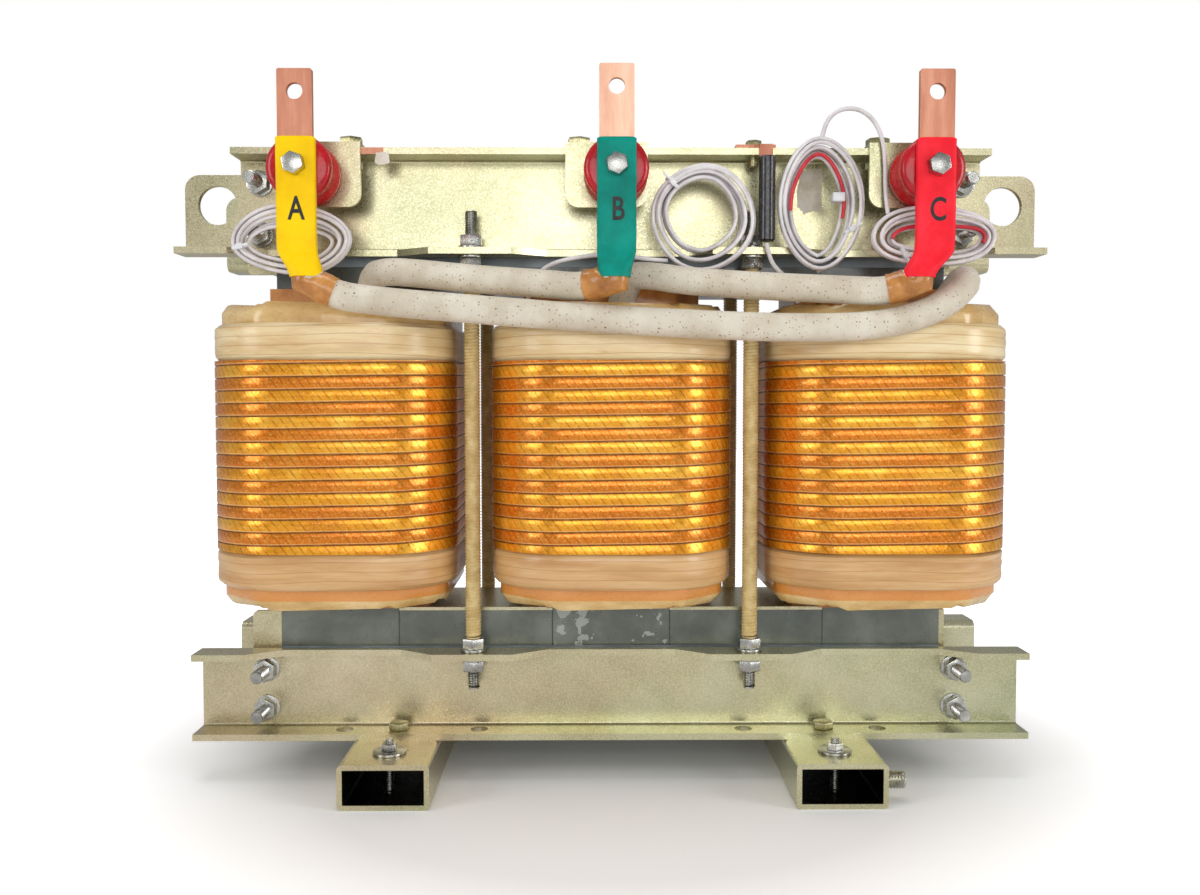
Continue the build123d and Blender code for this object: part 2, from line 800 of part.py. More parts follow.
bolt_tip = clamp_bolt_length - web_front - m12_washer_thick
hank("wire_hank_a", -287, 496, 51, 28, bolt_tip)
hank("wire_hank_b", 81, 520, 45, 45, flange_edge)
hank("wire_hank_c", 186, 530, 36, 56, flange_edge)
hank("wire_hank_d", 290, 500, 56, 25, bolt_tip)

loop_route = [
    (188, -99, 588), (191, -97, 604), (204, -95, 616), (221, -95, 617), (235, -97, 607),
    (243, -100, 588), (245, -101, 564), (245, -101, 540), (247, -104, 521),
]
tube("wire_loop", loop_route, wire_diameter)
link_route = [
    (50, -99, 480), (30, -99, 481), (5, -100, 486), (-25, -99, 484), (-52, -97, 479), (-70, -90, 468),
    (-78, -82, 444),
]
tube("wire_link", link_route, wire_diameter, coil_top)
neutral_route = [
    (139, -99.5, 496), (142, -98, 480), (154, -92, 469), (166, -84, 462), (172, -78, 444),
]
tube("wire_neutral", neutral_route, wire_diameter, coil_top)
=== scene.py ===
"""Looks of an open three-phase dry type transformer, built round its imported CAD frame."""
import math
import random

import bmesh
import bpy
from mathutils import Matrix, Vector


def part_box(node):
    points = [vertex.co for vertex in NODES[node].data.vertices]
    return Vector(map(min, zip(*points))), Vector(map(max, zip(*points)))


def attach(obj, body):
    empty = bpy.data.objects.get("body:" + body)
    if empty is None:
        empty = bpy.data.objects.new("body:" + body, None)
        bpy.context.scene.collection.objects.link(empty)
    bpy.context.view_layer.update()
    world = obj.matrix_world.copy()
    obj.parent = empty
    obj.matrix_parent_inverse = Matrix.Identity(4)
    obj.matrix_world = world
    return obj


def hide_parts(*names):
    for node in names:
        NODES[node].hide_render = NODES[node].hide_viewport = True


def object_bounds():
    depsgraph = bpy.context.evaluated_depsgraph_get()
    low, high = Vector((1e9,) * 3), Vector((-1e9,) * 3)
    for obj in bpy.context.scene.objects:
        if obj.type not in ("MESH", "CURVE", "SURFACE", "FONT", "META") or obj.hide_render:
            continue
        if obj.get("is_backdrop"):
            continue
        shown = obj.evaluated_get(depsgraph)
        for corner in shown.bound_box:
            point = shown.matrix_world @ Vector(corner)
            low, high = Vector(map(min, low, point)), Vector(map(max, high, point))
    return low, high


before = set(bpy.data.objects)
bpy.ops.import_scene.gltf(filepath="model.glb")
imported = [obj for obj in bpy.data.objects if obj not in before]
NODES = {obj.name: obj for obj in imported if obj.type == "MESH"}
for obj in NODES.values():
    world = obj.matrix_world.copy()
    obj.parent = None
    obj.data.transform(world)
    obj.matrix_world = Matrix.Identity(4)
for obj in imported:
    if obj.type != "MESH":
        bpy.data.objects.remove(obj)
cad_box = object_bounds()
MM = 0.001
RIGHT = Vector((1, 0, 0))
BACK = Vector((0, 1, 0))
UP = Vector((0, 0, 1))
FRONT = -BACK
WHITE = (1, 1, 1, 1)


# ------------------------------------------------------------ node tools
def linear(red, green, blue):
    """A colour given on the 0 to 255 display scale, as linear light."""
    def channel(value):
        value /= 255
        return value / 12.92 if value <= 0.04045 else ((value + 0.055) / 1.055) ** 2.4
    return (channel(red), channel(green), channel(blue), 1)


def feed(tree, socket, value):
    """Link a socket to another node's output, or set it to a constant."""
    if isinstance(value, bpy.types.NodeSocket):
        tree.links.new(value, socket)
    else:
        socket.default_value = value


def add_node(tree, kind, inputs=None, **settings):
    """A shader node with its settings, its constant inputs and its links."""
    made = tree.nodes.new(kind)
    for name, value in settings.items():
        setattr(made, name, value)
    for name, value in (inputs or {}).items():
        feed(tree, made.inputs[name], value)
    return made


def maths(tree, operation, first, second=0.0, third=0.5):
    """The result of one Math node."""
    return add_node(tree, "ShaderNodeMath", {0: first, 1: second, 2: third}, operation=operation).outputs[0]


def within(tree, value, centre, reach):
    """Mask of 1 where a value lies within reach of a centre."""
    return maths(tree, "COMPARE", value, centre, reach)


def ramp(tree, value, start, end, low=0.0, high=1.0):
    """A result that goes from low to high while the value goes from start to end."""
    inputs = {0: value, 1: start, 2: end, 3: low, 4: high}
    return add_node(tree, "ShaderNodeMapRange", inputs).outputs[0]


def noise(tree, place, scale, detail, roughness=0.5, distortion=0.0):
    """A cloudy value over the surface."""
    inputs = {"Vector": place, "Scale": scale, "Detail": detail, "Roughness": roughness,
              "Distortion": distortion}
    return add_node(tree, "ShaderNodeTexNoise", inputs).outputs["Fac"]


def blend_colour(tree, factor, first, second):
    """The colour between two colours."""
    return add_node(tree, "ShaderNodeMix", {0: factor, 6: first, 7: second}, data_type="RGBA").outputs[2]


def tint(tree, mask, strength, under, colour):
    """Lay a plain colour over another where a mask shows, at most as strong as given."""
    return blend_colour(tree, maths(tree, "MULTIPLY", mask, strength), under, linear(*colour))


def object_place(tree):
    """The place of a point on its piece."""
    return add_node(tree, "ShaderNodeTexCoord").outputs["Object"]


def parts_of(tree, place):
    """The X, Y and Z of a place."""
    return add_node(tree, "ShaderNodeSeparateXYZ", {0: place}).outputs


# --------------------------------------------------------- shared effects
def start_group(name, inputs, outputs):
    """An empty shader node group with named sockets."""
    group = bpy.data.node_groups.new(name, "ShaderNodeTree")
    kinds = {"v": "NodeSocketVector", "f": "NodeSocketFloat", "c": "NodeSocketColor"}
    for socket, kind, value in inputs:
        made = group.interface.new_socket(socket, in_out="INPUT", socket_type=kinds[kind])
        if value is not None:
            made.default_value = value
    for socket, kind in outputs:
        group.interface.new_socket(socket, in_out="OUTPUT", socket_type=kinds[kind])
    entry = group.nodes.new("NodeGroupInput")
    leave = group.nodes.new("NodeGroupOutput")
    return group, entry.outputs, leave.inputs


def drift_group():
    """Three tones that drift into each other over a surface."""
    group, given, result = start_group(
        "tone_drift",
        [("Vector", "v", None), ("Scale", "f", 5.0), ("Low", "c", WHITE), ("Middle", "c", WHITE),
         ("High", "c", WHITE)],
        [("Color", "c"), ("Value", "f")],
    )
    cloud = noise(group, given["Vector"], given["Scale"], 5.0, 0.6)
    lower = blend_colour(group, ramp(group, cloud, 0.30, 0.52), given["Low"], given["Middle"])
    drifted = blend_colour(group, ramp(group, cloud, 0.50, 0.72), lower, given["High"])
    group.links.new(drifted, result["Color"])
    group.links.new(cloud, result["Value"])
    return group


def grain_group():
    """Fine grain: a height and a roughness that follow one noise."""
    group, given, result = start_group(
        "fine_grain",
        [("Vector", "v", None), ("Scale", "f", 900.0), ("Rough Low", "f", 0.3), ("Rough High", "f", 0.5)],
        [("Height", "f"), ("Roughness", "f")],
    )
    grain = noise(group, given["Vector"], given["Scale"], 3.0)
    group.links.new(grain, result["Height"])
    rough = ramp(group, grain, 0.3, 0.7, given["Rough Low"], given["Rough High"])
    group.links.new(rough, result["Roughness"])
    return group


def speckle_group():
    """Scattered small spots, as a mask."""
    group, given, result = start_group(
        "speckle", [("Vector", "v", None), ("Scale", "f", 250.0), ("Size", "f", 0.2)], [("Mask", "f")],
    )
    cells = add_node(group, "ShaderNodeTexVoronoi", {"Vector": given["Vector"], "Scale": given["Scale"]})
    pick = add_node(group, "ShaderNodeSeparateColor", {0: cells.outputs["Color"]}).outputs[0]
    size = maths(group, "MULTIPLY", pick, given["Size"])
    group.links.new(maths(group, "LESS_THAN", cells.outputs["Distance"], size), result["Mask"])
    return group


def band_group():
    """Where a point lies on a strip wound round the Z axis: which turn, how far across and along it."""
    group, given, result = start_group(
        "wound_bands",
        [("Vector", "v", None), ("Start", "f", 0.0), ("Pitch", "f", 0.01), ("Radius", "f", 0.1)],
        [("Turn", "f"), ("Across", "f"), ("Along", "f")],
    )
    parts = parts_of(group, given["Vector"])
    angle = maths(group, "ARCTAN2", parts[1], parts[0])
    lap = maths(group, "DIVIDE", angle, 2 * math.pi)
    height = maths(group, "DIVIDE", maths(group, "SUBTRACT", parts[2], given["Start"]), given["Pitch"])
    wound = maths(group, "SUBTRACT", height, lap)
    group.links.new(maths(group, "FLOOR", wound), result["Turn"])
    group.links.new(maths(group, "FRACT", wound), result["Across"])
    group.links.new(maths(group, "MULTIPLY", angle, given["Radius"]), result["Along"])
    return group


DRIFT, GRAIN, SPECKLE, BANDS = drift_group(), grain_group(), speckle_group(), band_group()


def use_group(tree, group, inputs):
    """The outputs of one shared effect placed in a material."""
    return add_node(tree, "ShaderNodeGroup", inputs, node_tree=group).outputs


def drifting(tree, place, scale, low, middle, high):
    """Three tones that drift into each other."""
    tones = {"Low": linear(*low), "Middle": linear(*middle), "High": linear(*high)}
    return use_group(tree, DRIFT, {"Vector": place, "Scale": scale, **tones})["Color"]


def grained(tree, place, scale, smooth, rough):
    """Roughness and height of a fine grain."""
    inputs = {"Vector": place, "Scale": scale, "Rough Low": smooth, "Rough High": rough}
    made = use_group(tree, GRAIN, inputs)
    return made["Roughness"], made["Height"]


def specks(tree, place, scale, size):
    """Mask of scattered small spots."""
    return use_group(tree, SPECKLE, {"Vector": place, "Scale": scale, "Size": size})["Mask"]


def start_material(name, stretch=(1, 1, 1), offset=(0, 0, 0)):
    """A material with its node tree, its shader and its own place on the surface."""
    material = bpy.data.materials.new(name)
    material.use_nodes = True
    tree = material.node_tree
    mapping = {"Vector": object_place(tree), "Scale": stretch, "Location": offset}
    place = add_node(tree, "ShaderNodeMapping", mapping).outputs[0]
    return material, tree, tree.nodes["Principled BSDF"], place


def finish_surface(tree, shader, colour, roughness, height, strength, distance=0.4 * MM, **constants):
    """Link a finished colour, roughness and bump to the shader and set its constant sockets."""
    feed(tree, shader.inputs["Base Color"], colour)
    feed(tree, shader.inputs["Roughness"], roughness)
    bump = add_node(tree, "ShaderNodeBump", {"Height": height, "Strength": strength, "Distance": distance})
    feed(tree, shader.inputs["Normal"], bump.outputs[0])
    for name, value in constants.items():
        shader.inputs[name.replace("_", " ")].default_value = value


def mottled(name, tones, scale, grain, rough, stretch=(1, 1, 1), **constants):
    """A surface of drifting tones with a fine grain."""
    material, tree, shader, place = start_material(name, stretch)
    colour = drifting(tree, place, scale, *tones)
    roughness, height = grained(tree, place, grain, *rough)
    finish_surface(tree, shader, colour, roughness, height, 0.25, **constants)
    return material


# ------------------------------------------------------------- finishes
def coil_levels():
    """Lowest and highest point of the turns, and the middle between them."""
    low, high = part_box("outer_winding_b")
    return low.z, high.z, (low.z + high.z) / 2


TURNS_LOW, TURNS_HIGH, COIL_MIDDLE = coil_levels()
TURN_COUNT = 15
TURN_PITCH = (TURNS_HIGH - TURNS_LOW) / TURN_COUNT


def feet_painted_shade(tree):
    """Mask of the inner walls of the two tubular feet, where painted shade goes."""
    low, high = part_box("foot_right")
    centre, wall = (low + high) / 2, 4.6 * MM
    parts = parts_of(tree, object_place(tree))
    aside = maths(tree, "ABSOLUTE", parts[0])
    between_sides = within(tree, aside, centre.x, (high.x - low.x) / 2 - wall)
    between_levels = within(tree, parts[2], centre.z, (high.z - low.z) / 2 - wall)
    return maths(tree, "MULTIPLY", between_sides, between_levels)


def zinc_plate_finish():
    """Yellow passivated plate: olive gold and cream with faint pink and green bloom, and painted shade inside
    the feet.
    """
    material, tree, shader, place = start_material("zinc_plate")
    base = drifting(tree, place, 9.0, (154, 148, 108), (192, 186, 146), (220, 215, 184))
    bloom = drifting(tree, place, 4.0, (212, 174, 156), (194, 188, 150), (156, 178, 146))
    plated = blend_colour(tree, 0.4, base, bloom)
    salt = ramp(tree, noise(tree, place, 620.0, 2.0), 0.40, 0.66, 0.0, 0.30)
    salted = blend_colour(tree, salt, plated, linear(240, 236, 214))
    spotted = tint(tree, specks(tree, place, 160.0, 0.16), 0.16, salted, (120, 108, 70))
    # Painted shade: the inner walls of the tubular feet are darkened to near black.
    finished = blend_colour(tree, feet_painted_shade(tree), spotted, linear(34, 30, 22))
    roughness, height = grained(tree, place, 700.0, 0.24, 0.38)
    finish_surface(tree, shader, finished, roughness, height, 0.18, 0.3 * MM, Metallic=0.93)
    return material


def core_finish():
    """Grey-green varnish over laminations, with the joints of the stack, resin spilt near its middle, and
    painted shade darkening all of it above the coils' middle height.
    """
    material, tree, shader, place = start_material("core_varnish")
    varnish = drifting(tree, place, 14.0, (70, 77, 70), (98, 105, 97), (128, 134, 124))
    layers = add_node(tree, "ShaderNodeTexWave", {"Vector": place, "Scale": 320.0, "Distortion": 0.4},
                      wave_type="BANDS", bands_direction="Y").outputs["Fac"]
    lined = tint(tree, layers, 0.5, varnish, (66, 72, 70))
    parts = parts_of(tree, place)
    aside = maths(tree, "ABSOLUTE", parts[0])
    joint_width, resin_centre, resin_reach = 0.6 * MM, 36 * MM, 20 * MM
    inner = within(tree, aside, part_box("core_leg_centre")[1].x, joint_width)
    outer = within(tree, aside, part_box("core_leg_right")[0].x, joint_width)
    jointed = blend_colour(tree, maths(tree, "MAXIMUM", inner, outer), lined, linear(44, 48, 46))
    patches = maths(tree, "GREATER_THAN", noise(tree, place, 90.0, 4.0), 0.56)
    resin = maths(tree, "MULTIPLY", patches, within(tree, aside, resin_centre, resin_reach))
    resined = tint(tree, resin, 0.5, jointed, (196, 202, 198))
    # Painted shade: the core above the coils' middle height is darkened towards near black.
    upper = maths(tree, "GREATER_THAN", parts[2], COIL_MIDDLE)
    finished = tint(tree, upper, 0.72, resined, (34, 38, 38))
    roughness, _ = grained(tree, place, 60.0, 0.22, 0.42)
    finish_surface(tree, shader, finished, roughness, layers, 0.35, 0.3 * MM,
                   Metallic=0.25, Coat_Weight=0.5, Coat_Roughness=0.2)
    return material


def strip_finish(letter, centre_x):
    """Film-wrapped strip: turns of bright and deep gold with slanting laps of film, painted shade along the
    edges of each turn and a thin painted highlight near its lower edge.
    """
    material, tree, shader, place = start_material(f"wrapped_strip_{letter}", offset=(-centre_x, 0, 0))
    laps_per_metre, lean, mean_radius = 140.0, 1.1, 0.115
    bands = use_group(tree, BANDS, {"Vector": place, "Start": TURNS_LOW, "Pitch": TURN_PITCH,
                                    "Radius": mean_radius})
    odd_turn = maths(tree, "MODULO", maths(tree, "ADD", bands["Turn"], 40.0), 2.0)
    gold = drifting(tree, place, 22.0, (208, 122, 6), (236, 158, 18), (252, 200, 76))
    turned = tint(tree, odd_turn, 0.74, gold, (206, 102, 0))
    flecks = ramp(tree, noise(tree, place, 520.0, 2.0), 0.50, 0.72, 0.0, 0.45)
    flecked = blend_colour(tree, flecks, turned, linear(255, 214, 110))
    lap = maths(tree, "FRACT", maths(tree, "ADD", maths(tree, "MULTIPLY", bands["Along"], laps_per_metre),
                                     maths(tree, "MULTIPLY", bands["Across"], lean)))
    ragged = noise(tree, place, 240.0, 2.0)
    lap_edge = maths(tree, "MULTIPLY", ramp(tree, lap, 0.06, 0.20, 1.0, 0.0), ramp(tree, ragged, 0.36, 0.52))
    lapped = tint(tree, lap_edge, 0.75, flecked, (150, 70, 4))
    # Painted shade: each turn darkens towards both its edges, next to the gaps between turns.
    off_middle = maths(tree, "ABSOLUTE", maths(tree, "SUBTRACT", bands["Across"], 0.5))
    turn_edges_shaded = tint(tree, ramp(tree, off_middle, 0.38, 0.49), 0.6, lapped, (120, 62, 16))
    # Painted highlight: a thin light line just above the lower edge of each turn.
    finished = tint(tree, within(tree, bands["Across"], 0.11, 0.035), 0.5, turn_edges_shaded, (255, 206, 140))
    ripple = maths(tree, "ADD", maths(tree, "MULTIPLY", lap, 0.5), ragged)
    finish_surface(tree, shader, finished, 0.27, ripple, 0.35, 0.6 * MM,
                   Metallic=0.62, Coat_Weight=0.2, Coat_Roughness=0.16)
    return material


def collar_finish():
    """Varnished tape collars with long soft streaks, cream above and orange beige below."""
    material, tree, shader, place = start_material("collar_tape", (1, 1, 9))
    tape_seams_per_metre = 118.0
    streaks = noise(tree, place, 16.0, 6.0, 0.6, 1.2)
    cream = drifting(tree, place, 9.0, (208, 176, 124), (228, 202, 152), (240, 222, 182))
    amber = drifting(tree, place, 9.0, (188, 138, 82), (208, 164, 110), (222, 184, 134))
    here = object_place(tree)
    level = parts_of(tree, here)[2]
    body = blend_colour(tree, maths(tree, "GREATER_THAN", level, COIL_MIDDLE), amber, cream)
    veined = blend_colour(tree, ramp(tree, streaks, 0.52, 0.72, 0.0, 0.45), body, linear(196, 142, 84))
    laid = maths(tree, "ADD", maths(tree, "MULTIPLY", level, tape_seams_per_metre),
                 maths(tree, "MULTIPLY", noise(tree, here, 5.0, 1.0), 1.6))
    seam = within(tree, maths(tree, "FRACT", laid), 0.5, 0.045)
    finished = tint(tree, seam, 0.42, veined, (160, 108, 54))
    finish_surface(tree, shader, finished, 0.34, streaks, 0.35, 1.2 * MM,
                   Coat_Weight=0.35, Coat_Roughness=0.2, Subsurface_Weight=0.05)
    return material


def inner_finish():
    """Inner winding wrap: pale laminate at the rims and an orange band below each winding."""
    material, tree, shader, place = start_material("inner_wrap", (1, 1, 3))
    pale = drifting(tree, place, 24.0, (190, 148, 84), (212, 176, 114), (232, 204, 150))
    level = parts_of(tree, object_place(tree))[2]
    band = within(tree, level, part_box("end_collars_b")[0].z - 4 * MM, 6.2 * MM)
    finished = tint(tree, band, 0.8, pale, (214, 132, 46))
    roughness, height = grained(tree, place, 260.0, 0.22, 0.4)
    finish_surface(tree, shader, finished, roughness, height, 0.25, Coat_Weight=0.5, Subsurface_Weight=0.06)
    return material


def braid_finish():
    """Varnished glass braid: off-white with brown specks and a fine weave."""
    material, tree, shader, place = start_material("glass_braid")
    glass = drifting(tree, place, 26.0, (194, 182, 160), (212, 203, 184), (228, 222, 206))
    specked = tint(tree, specks(tree, place, 330.0, 0.29), 0.7, glass, (150, 112, 70))
    spotted = tint(tree, specks(tree, place, 150.0, 0.15), 0.9, specked, (110, 78, 48))
    weave = add_node(tree, "ShaderNodeTexWave",
                     {"Vector": place, "Scale": 300.0, "Distortion": 1.5, "Detail Scale": 2.0},
                     bands_direction="DIAGONAL").outputs["Fac"]
    finish_surface(tree, shader, spotted, 0.62, weave, 0.35, 0.5 * MM, Sheen_Weight=0.15)
    return material


# each plain finish: its three tones, their scale, the grain's scale, its roughness and other settings
PLAIN_FINISHES = {
    "zinc_fixing": (((138, 138, 134), (178, 178, 174), (214, 213, 208)), 60.0, 900.0, (0.20, 0.36),
                    {"Metallic": 1.0}),
    "olive_fixing": (((124, 118, 84), (158, 152, 112), (190, 184, 146)), 60.0, 900.0, (0.22, 0.40),
                     {"Metallic": 0.9}),
    "press_sheet": (((92, 104, 112), (118, 130, 138), (146, 158, 166)), 20.0, 400.0, (0.35, 0.5), {}),
    "amber_laminate": (((150, 84, 26), (196, 124, 48), (222, 158, 84)), 40.0, 300.0, (0.25, 0.45),
                       {"Coat_Weight": 0.4}),
    "glass_rod": (((190, 164, 104), (212, 188, 130), (228, 208, 156)), 90.0, 900.0, (0.3, 0.5),
                  {"Coat_Weight": 0.2}),
    "red_resin": (((150, 4, 14), (182, 8, 24), (200, 18, 36)), 30.0, 300.0, (0.20, 0.32),
                  {"Coat_Weight": 0.25, "Specular_IOR_Level": 0.35}),
    "copper": (((176, 110, 86), (212, 146, 118), (234, 176, 148)), 34.0, 500.0, (0.42, 0.60),
               {"stretch": (1, 1, 0.15), "Metallic": 0.62}),
    # painted highlight: a lighter copy of the copper, used for the middle terminal bar
    "copper_painted_lit": (((212, 156, 130), (240, 190, 162), (252, 212, 186)), 34.0, 500.0, (0.42, 0.60),
                      {"stretch": (1, 1, 0.15), "Metallic": 0.62}),
    "yellow_sleeve": (((240, 190, 0), (252, 206, 0), (254, 216, 4)), 30.0, 400.0, (0.40, 0.55),
                      {"Specular_IOR_Level": 0.15}),
    "green_sleeve": (((0, 118, 104), (0, 138, 122), (0, 152, 136)), 30.0, 400.0, (0.40, 0.55),
                     {"Specular_IOR_Level": 0.15}),
    "red_sleeve": (((226, 24, 40), (244, 36, 52), (250, 52, 66)), 30.0, 400.0, (0.40, 0.55),
                   {"Specular_IOR_Level": 0.15}),
    "white_wire": (((196, 190, 192), (222, 217, 218), (238, 235, 236)), 40.0, 600.0, (0.35, 0.5),
                   {"Coat_Weight": 0.2}),
    "red_wire": (((170, 20, 34), (200, 34, 50), (216, 60, 70)), 40.0, 600.0, (0.35, 0.5), {}),
    "black_sleeve": (((14, 14, 16), (24, 24, 26), (40, 40, 44)), 60.0, 300.0, (0.18, 0.4),
                     {"Coat_Weight": 0.3}),
    "brown_tape": (((150, 92, 34), (186, 122, 52), (212, 150, 78)), 60.0, 300.0, (0.25, 0.4),
                   {"Coat_Weight": 0.4}),
    # painted shade: dark brown backing that shows as the shaded gaps between strip turns
    "gap_painted_shade": (((96, 58, 22), (140, 92, 44), (200, 160, 110)), 90.0, 300.0, (0.4, 0.6), {}),
    "label_rest": (((200, 186, 160), (226, 218, 202), (242, 238, 230)), 60.0, 300.0, (0.5, 0.7), {}),
    "tie_film": (((204, 206, 208), (226, 228, 230), (240, 241, 242)), 60.0, 400.0, (0.3, 0.45), {}),
    "ink": (((12, 12, 12), (20, 20, 20), (34, 34, 34)), 80.0, 300.0, (0.4, 0.6), {}),
}


def make_finishes():
    """Every finish that more than one piece may use, by name."""
    finishes = {
        "zinc_plate": zinc_plate_finish(),
        "core_varnish": core_finish(),
        "collar_tape": collar_finish(),
        "inner_wrap": inner_finish(),
        "glass_braid": braid_finish(),
    }
    for name, (tones, scale, grain, rough, others) in PLAIN_FINISHES.items():
        finishes[name] = mottled(name, tones, scale, grain, rough, **others)
    return finishes


FINISH = make_finishes()


# ----------------------------------------------------------- mesh tools
def add_piece(name, mesh, finish, replaced=(), smooth_angle=35):
    """Put a finished mesh into the scene as a piece that rides on the root body."""
    if isinstance(mesh, bmesh.types.BMesh):
        bmesh.ops.recalc_face_normals(mesh, faces=mesh.faces)
        made = bpy.data.meshes.new(name)
        mesh.to_mesh(made)
        mesh.free()
        mesh = made
    mesh.polygons.foreach_set("use_smooth", [True] * len(mesh.polygons))
    mesh.set_sharp_from_angle(angle=math.radians(smooth_angle))
    mesh.materials.clear()
    mesh.materials.append(FINISH[finish] if isinstance(finish, str) else finish)
    piece = bpy.data.objects.new(name, mesh)
    bpy.context.scene.collection.objects.link(piece)
    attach(piece, "root")
    if replaced:
        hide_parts(*replaced)
    return piece


def solid_boxes(node):
    """The box of each separate solid in a CAD node."""
    shape = bmesh.new()
    shape.from_mesh(NODES[node].data)
    bmesh.ops.remove_doubles(shape, verts=shape.verts, dist=0.01 * MM)
    waiting = set(shape.verts)
    boxes = []
    while waiting:
        reached = [waiting.pop()]
        found = []
        while reached:
            vertex = reached.pop()
            found.append(vertex.co)
            for edge in vertex.link_edges:
                other = edge.other_vert(vertex)
                if other in waiting:
                    waiting.remove(other)
                    reached.append(other)
        boxes.append(tuple(Vector(pick(place[axis] for place in found) for axis in range(3))
                           for pick in (min, max)))
    shape.free()
    return sorted(boxes, key=lambda pair: tuple(round(value, 4) for value in pair[0]))


def middle(pair):
    """Centre of a box."""
    return (pair[0] + pair[1]) / 2


def half_plan(pair):
    """Half the width and half the depth of a box."""
    size = pair[1] - pair[0]
    return size.x / 2, size.y / 2


def base_of(pair):
    """The point below a box's centre, at its lowest level."""
    centre = middle(pair)
    return Vector((centre.x, centre.y, pair[0].z))


def standing(base, axis):
    """Matrix that stands a shape made along +Z on a point, along an axis."""
    return Matrix.Translation(base) @ UP.rotation_difference(axis).to_matrix().to_4x4()


def join_part(shape, part):
    """Add a finished part to a shape and let the part go."""
    carrier = bpy.data.meshes.new("carrier")
    part.to_mesh(carrier)
    part.free()
    shape.from_mesh(carrier)
    bpy.data.meshes.remove(carrier)


def round_edges(shape, edges, offset, segments=2):
    """Bevel edges into a small round."""
    bmesh.ops.bevel(shape, geom=list(edges), offset=offset, segments=segments, profile=0.5, affect="EDGES",
                    material=-1)


def add_prism(shape, place, sides, radius, height, edge=0.0):
    """Round or many-sided block standing on its place, with the edges of its two ends rounded."""
    made = bmesh.ops.create_cone(shape, cap_ends=True, segments=sides, radius1=radius, radius2=radius,
                                 depth=height, matrix=place @ Matrix.Translation((0, 0, height / 2)))
    if edge:
        rims = {item for vertex in made["verts"] for item in vertex.link_edges
                if any(len(face.verts) > 4 for face in item.link_faces)}
        round_edges(shape, rims, edge)


def add_disc(shape, place, radius, thickness, edge=0.0):
    """Washer or plug standing on its place."""
    add_prism(shape, place, 32, radius, thickness, edge)


def add_hexagon(shape, place, flats, height, edge=0.9 * MM, turn=0.0):
    """Hexagon nut or head standing on its place, with its corners chamfered."""
    radius = flats / 2 / math.cos(math.pi / 6)
    add_prism(shape, place @ Matrix.Rotation(turn, 4, "Z"), 6, radius, height, edge)


def add_thread(shape, place, radius, length, pitch, depth, steps=12):
    """Threaded rod: one thread profile spun up its axis, with closed ends."""
    turns = max(1, round(length / pitch))
    rise = length / turns
    root = radius - depth
    rod = bmesh.new()
    verts = [rod.verts.new((x, 0, z)) for x, z in ((root, 0.0), (radius, rise / 2), (root, rise))]
    edges = [rod.edges.new(pair) for pair in zip(verts, verts[1:])]
    bmesh.ops.spin(rod, geom=verts + edges, cent=(0, 0, 0), axis=UP, dvec=(0, 0, rise / steps),
                   angle=2 * math.pi * (turns - 1), steps=steps * (turns - 1))
    bmesh.ops.remove_doubles(rod, verts=rod.verts, dist=0.02 * MM)
    plug = rise * 0.8
    for level in (0.0, length - plug / 2):
        add_prism(rod, Matrix.Translation((0, 0, level - plug / 2)), steps, root, plug)
    bmesh.ops.transform(rod, matrix=place, verts=rod.verts)
    join_part(shape, rod)


def add_spun(shape, place, profile, steps=48):
    """Solid turned from a profile of radius and height pairs."""
    made = bmesh.new()
    verts = [made.verts.new((radius, 0, height)) for radius, height in profile]
    edges = [made.edges.new(pair) for pair in zip(verts, verts[1:])]
    bmesh.ops.spin(made, geom=verts + edges, cent=(0, 0, 0), axis=UP, angle=2 * math.pi, steps=steps,
                   use_merge=True)
    bmesh.ops.remove_doubles(made, verts=made.verts, dist=0.01 * MM)
    bmesh.ops.transform(made, matrix=place, verts=made.verts)
    join_part(shape, made)


def add_skin(shape, rows, closed=True, capped=True):
    """Skin over rows of equal point counts: the first is drawn, each other one is extruded to its place."""
    def neighbours(row):
        return zip(row, row[1:] + row[:1] if closed else row[1:])
    row = [shape.verts.new(point) for point in rows[0]]
    edges = [shape.edges.new(pair) for pair in neighbours(row)]
    if capped:
        shape.faces.new(row)
    for points in rows[1:]:
        fresh = set(bmesh.ops.extrude_edge_only(shape, edges=edges)["geom"])
        row = [next(edge.other_vert(vertex) for edge in vertex.link_edges if edge.other_vert(vertex) in fresh)
               for vertex in row]
        for vertex, point in zip(row, points):
            vertex.co = point
        edges = [shape.edges.get(pair) for pair in neighbours(row)]
    if capped:
        shape.faces.new(row)


def box_shape(low, high, rounding=0.0, segments=2):
    """A block between two corners with rounded edges."""
    shape = bmesh.new()
    bmesh.ops.create_cube(shape, size=1.0, matrix=Matrix.Translation(middle((low, high))) @
                          Matrix.Diagonal((*(high - low), 1)))
    if rounding:
        round_edges(shape, shape.edges, rounding, segments)
    return shape


def mesh_from_curve(curve):
    """The mesh that a curve gives, without keeping the curve."""
    holder = bpy.data.objects.new("holder", curve)
    bpy.context.scene.collection.objects.link(holder)
    bpy.context.view_layer.update()
    graph = bpy.context.evaluated_depsgraph_get()
    mesh = bpy.data.meshes.new_from_object(holder.evaluated_get(graph), depsgraph=graph)
    bpy.data.objects.remove(holder)
    return mesh


# ------------------------------------------------------------- windings
CORNER_CUT, CORNER_ROUND = 44 * MM, 30 * MM


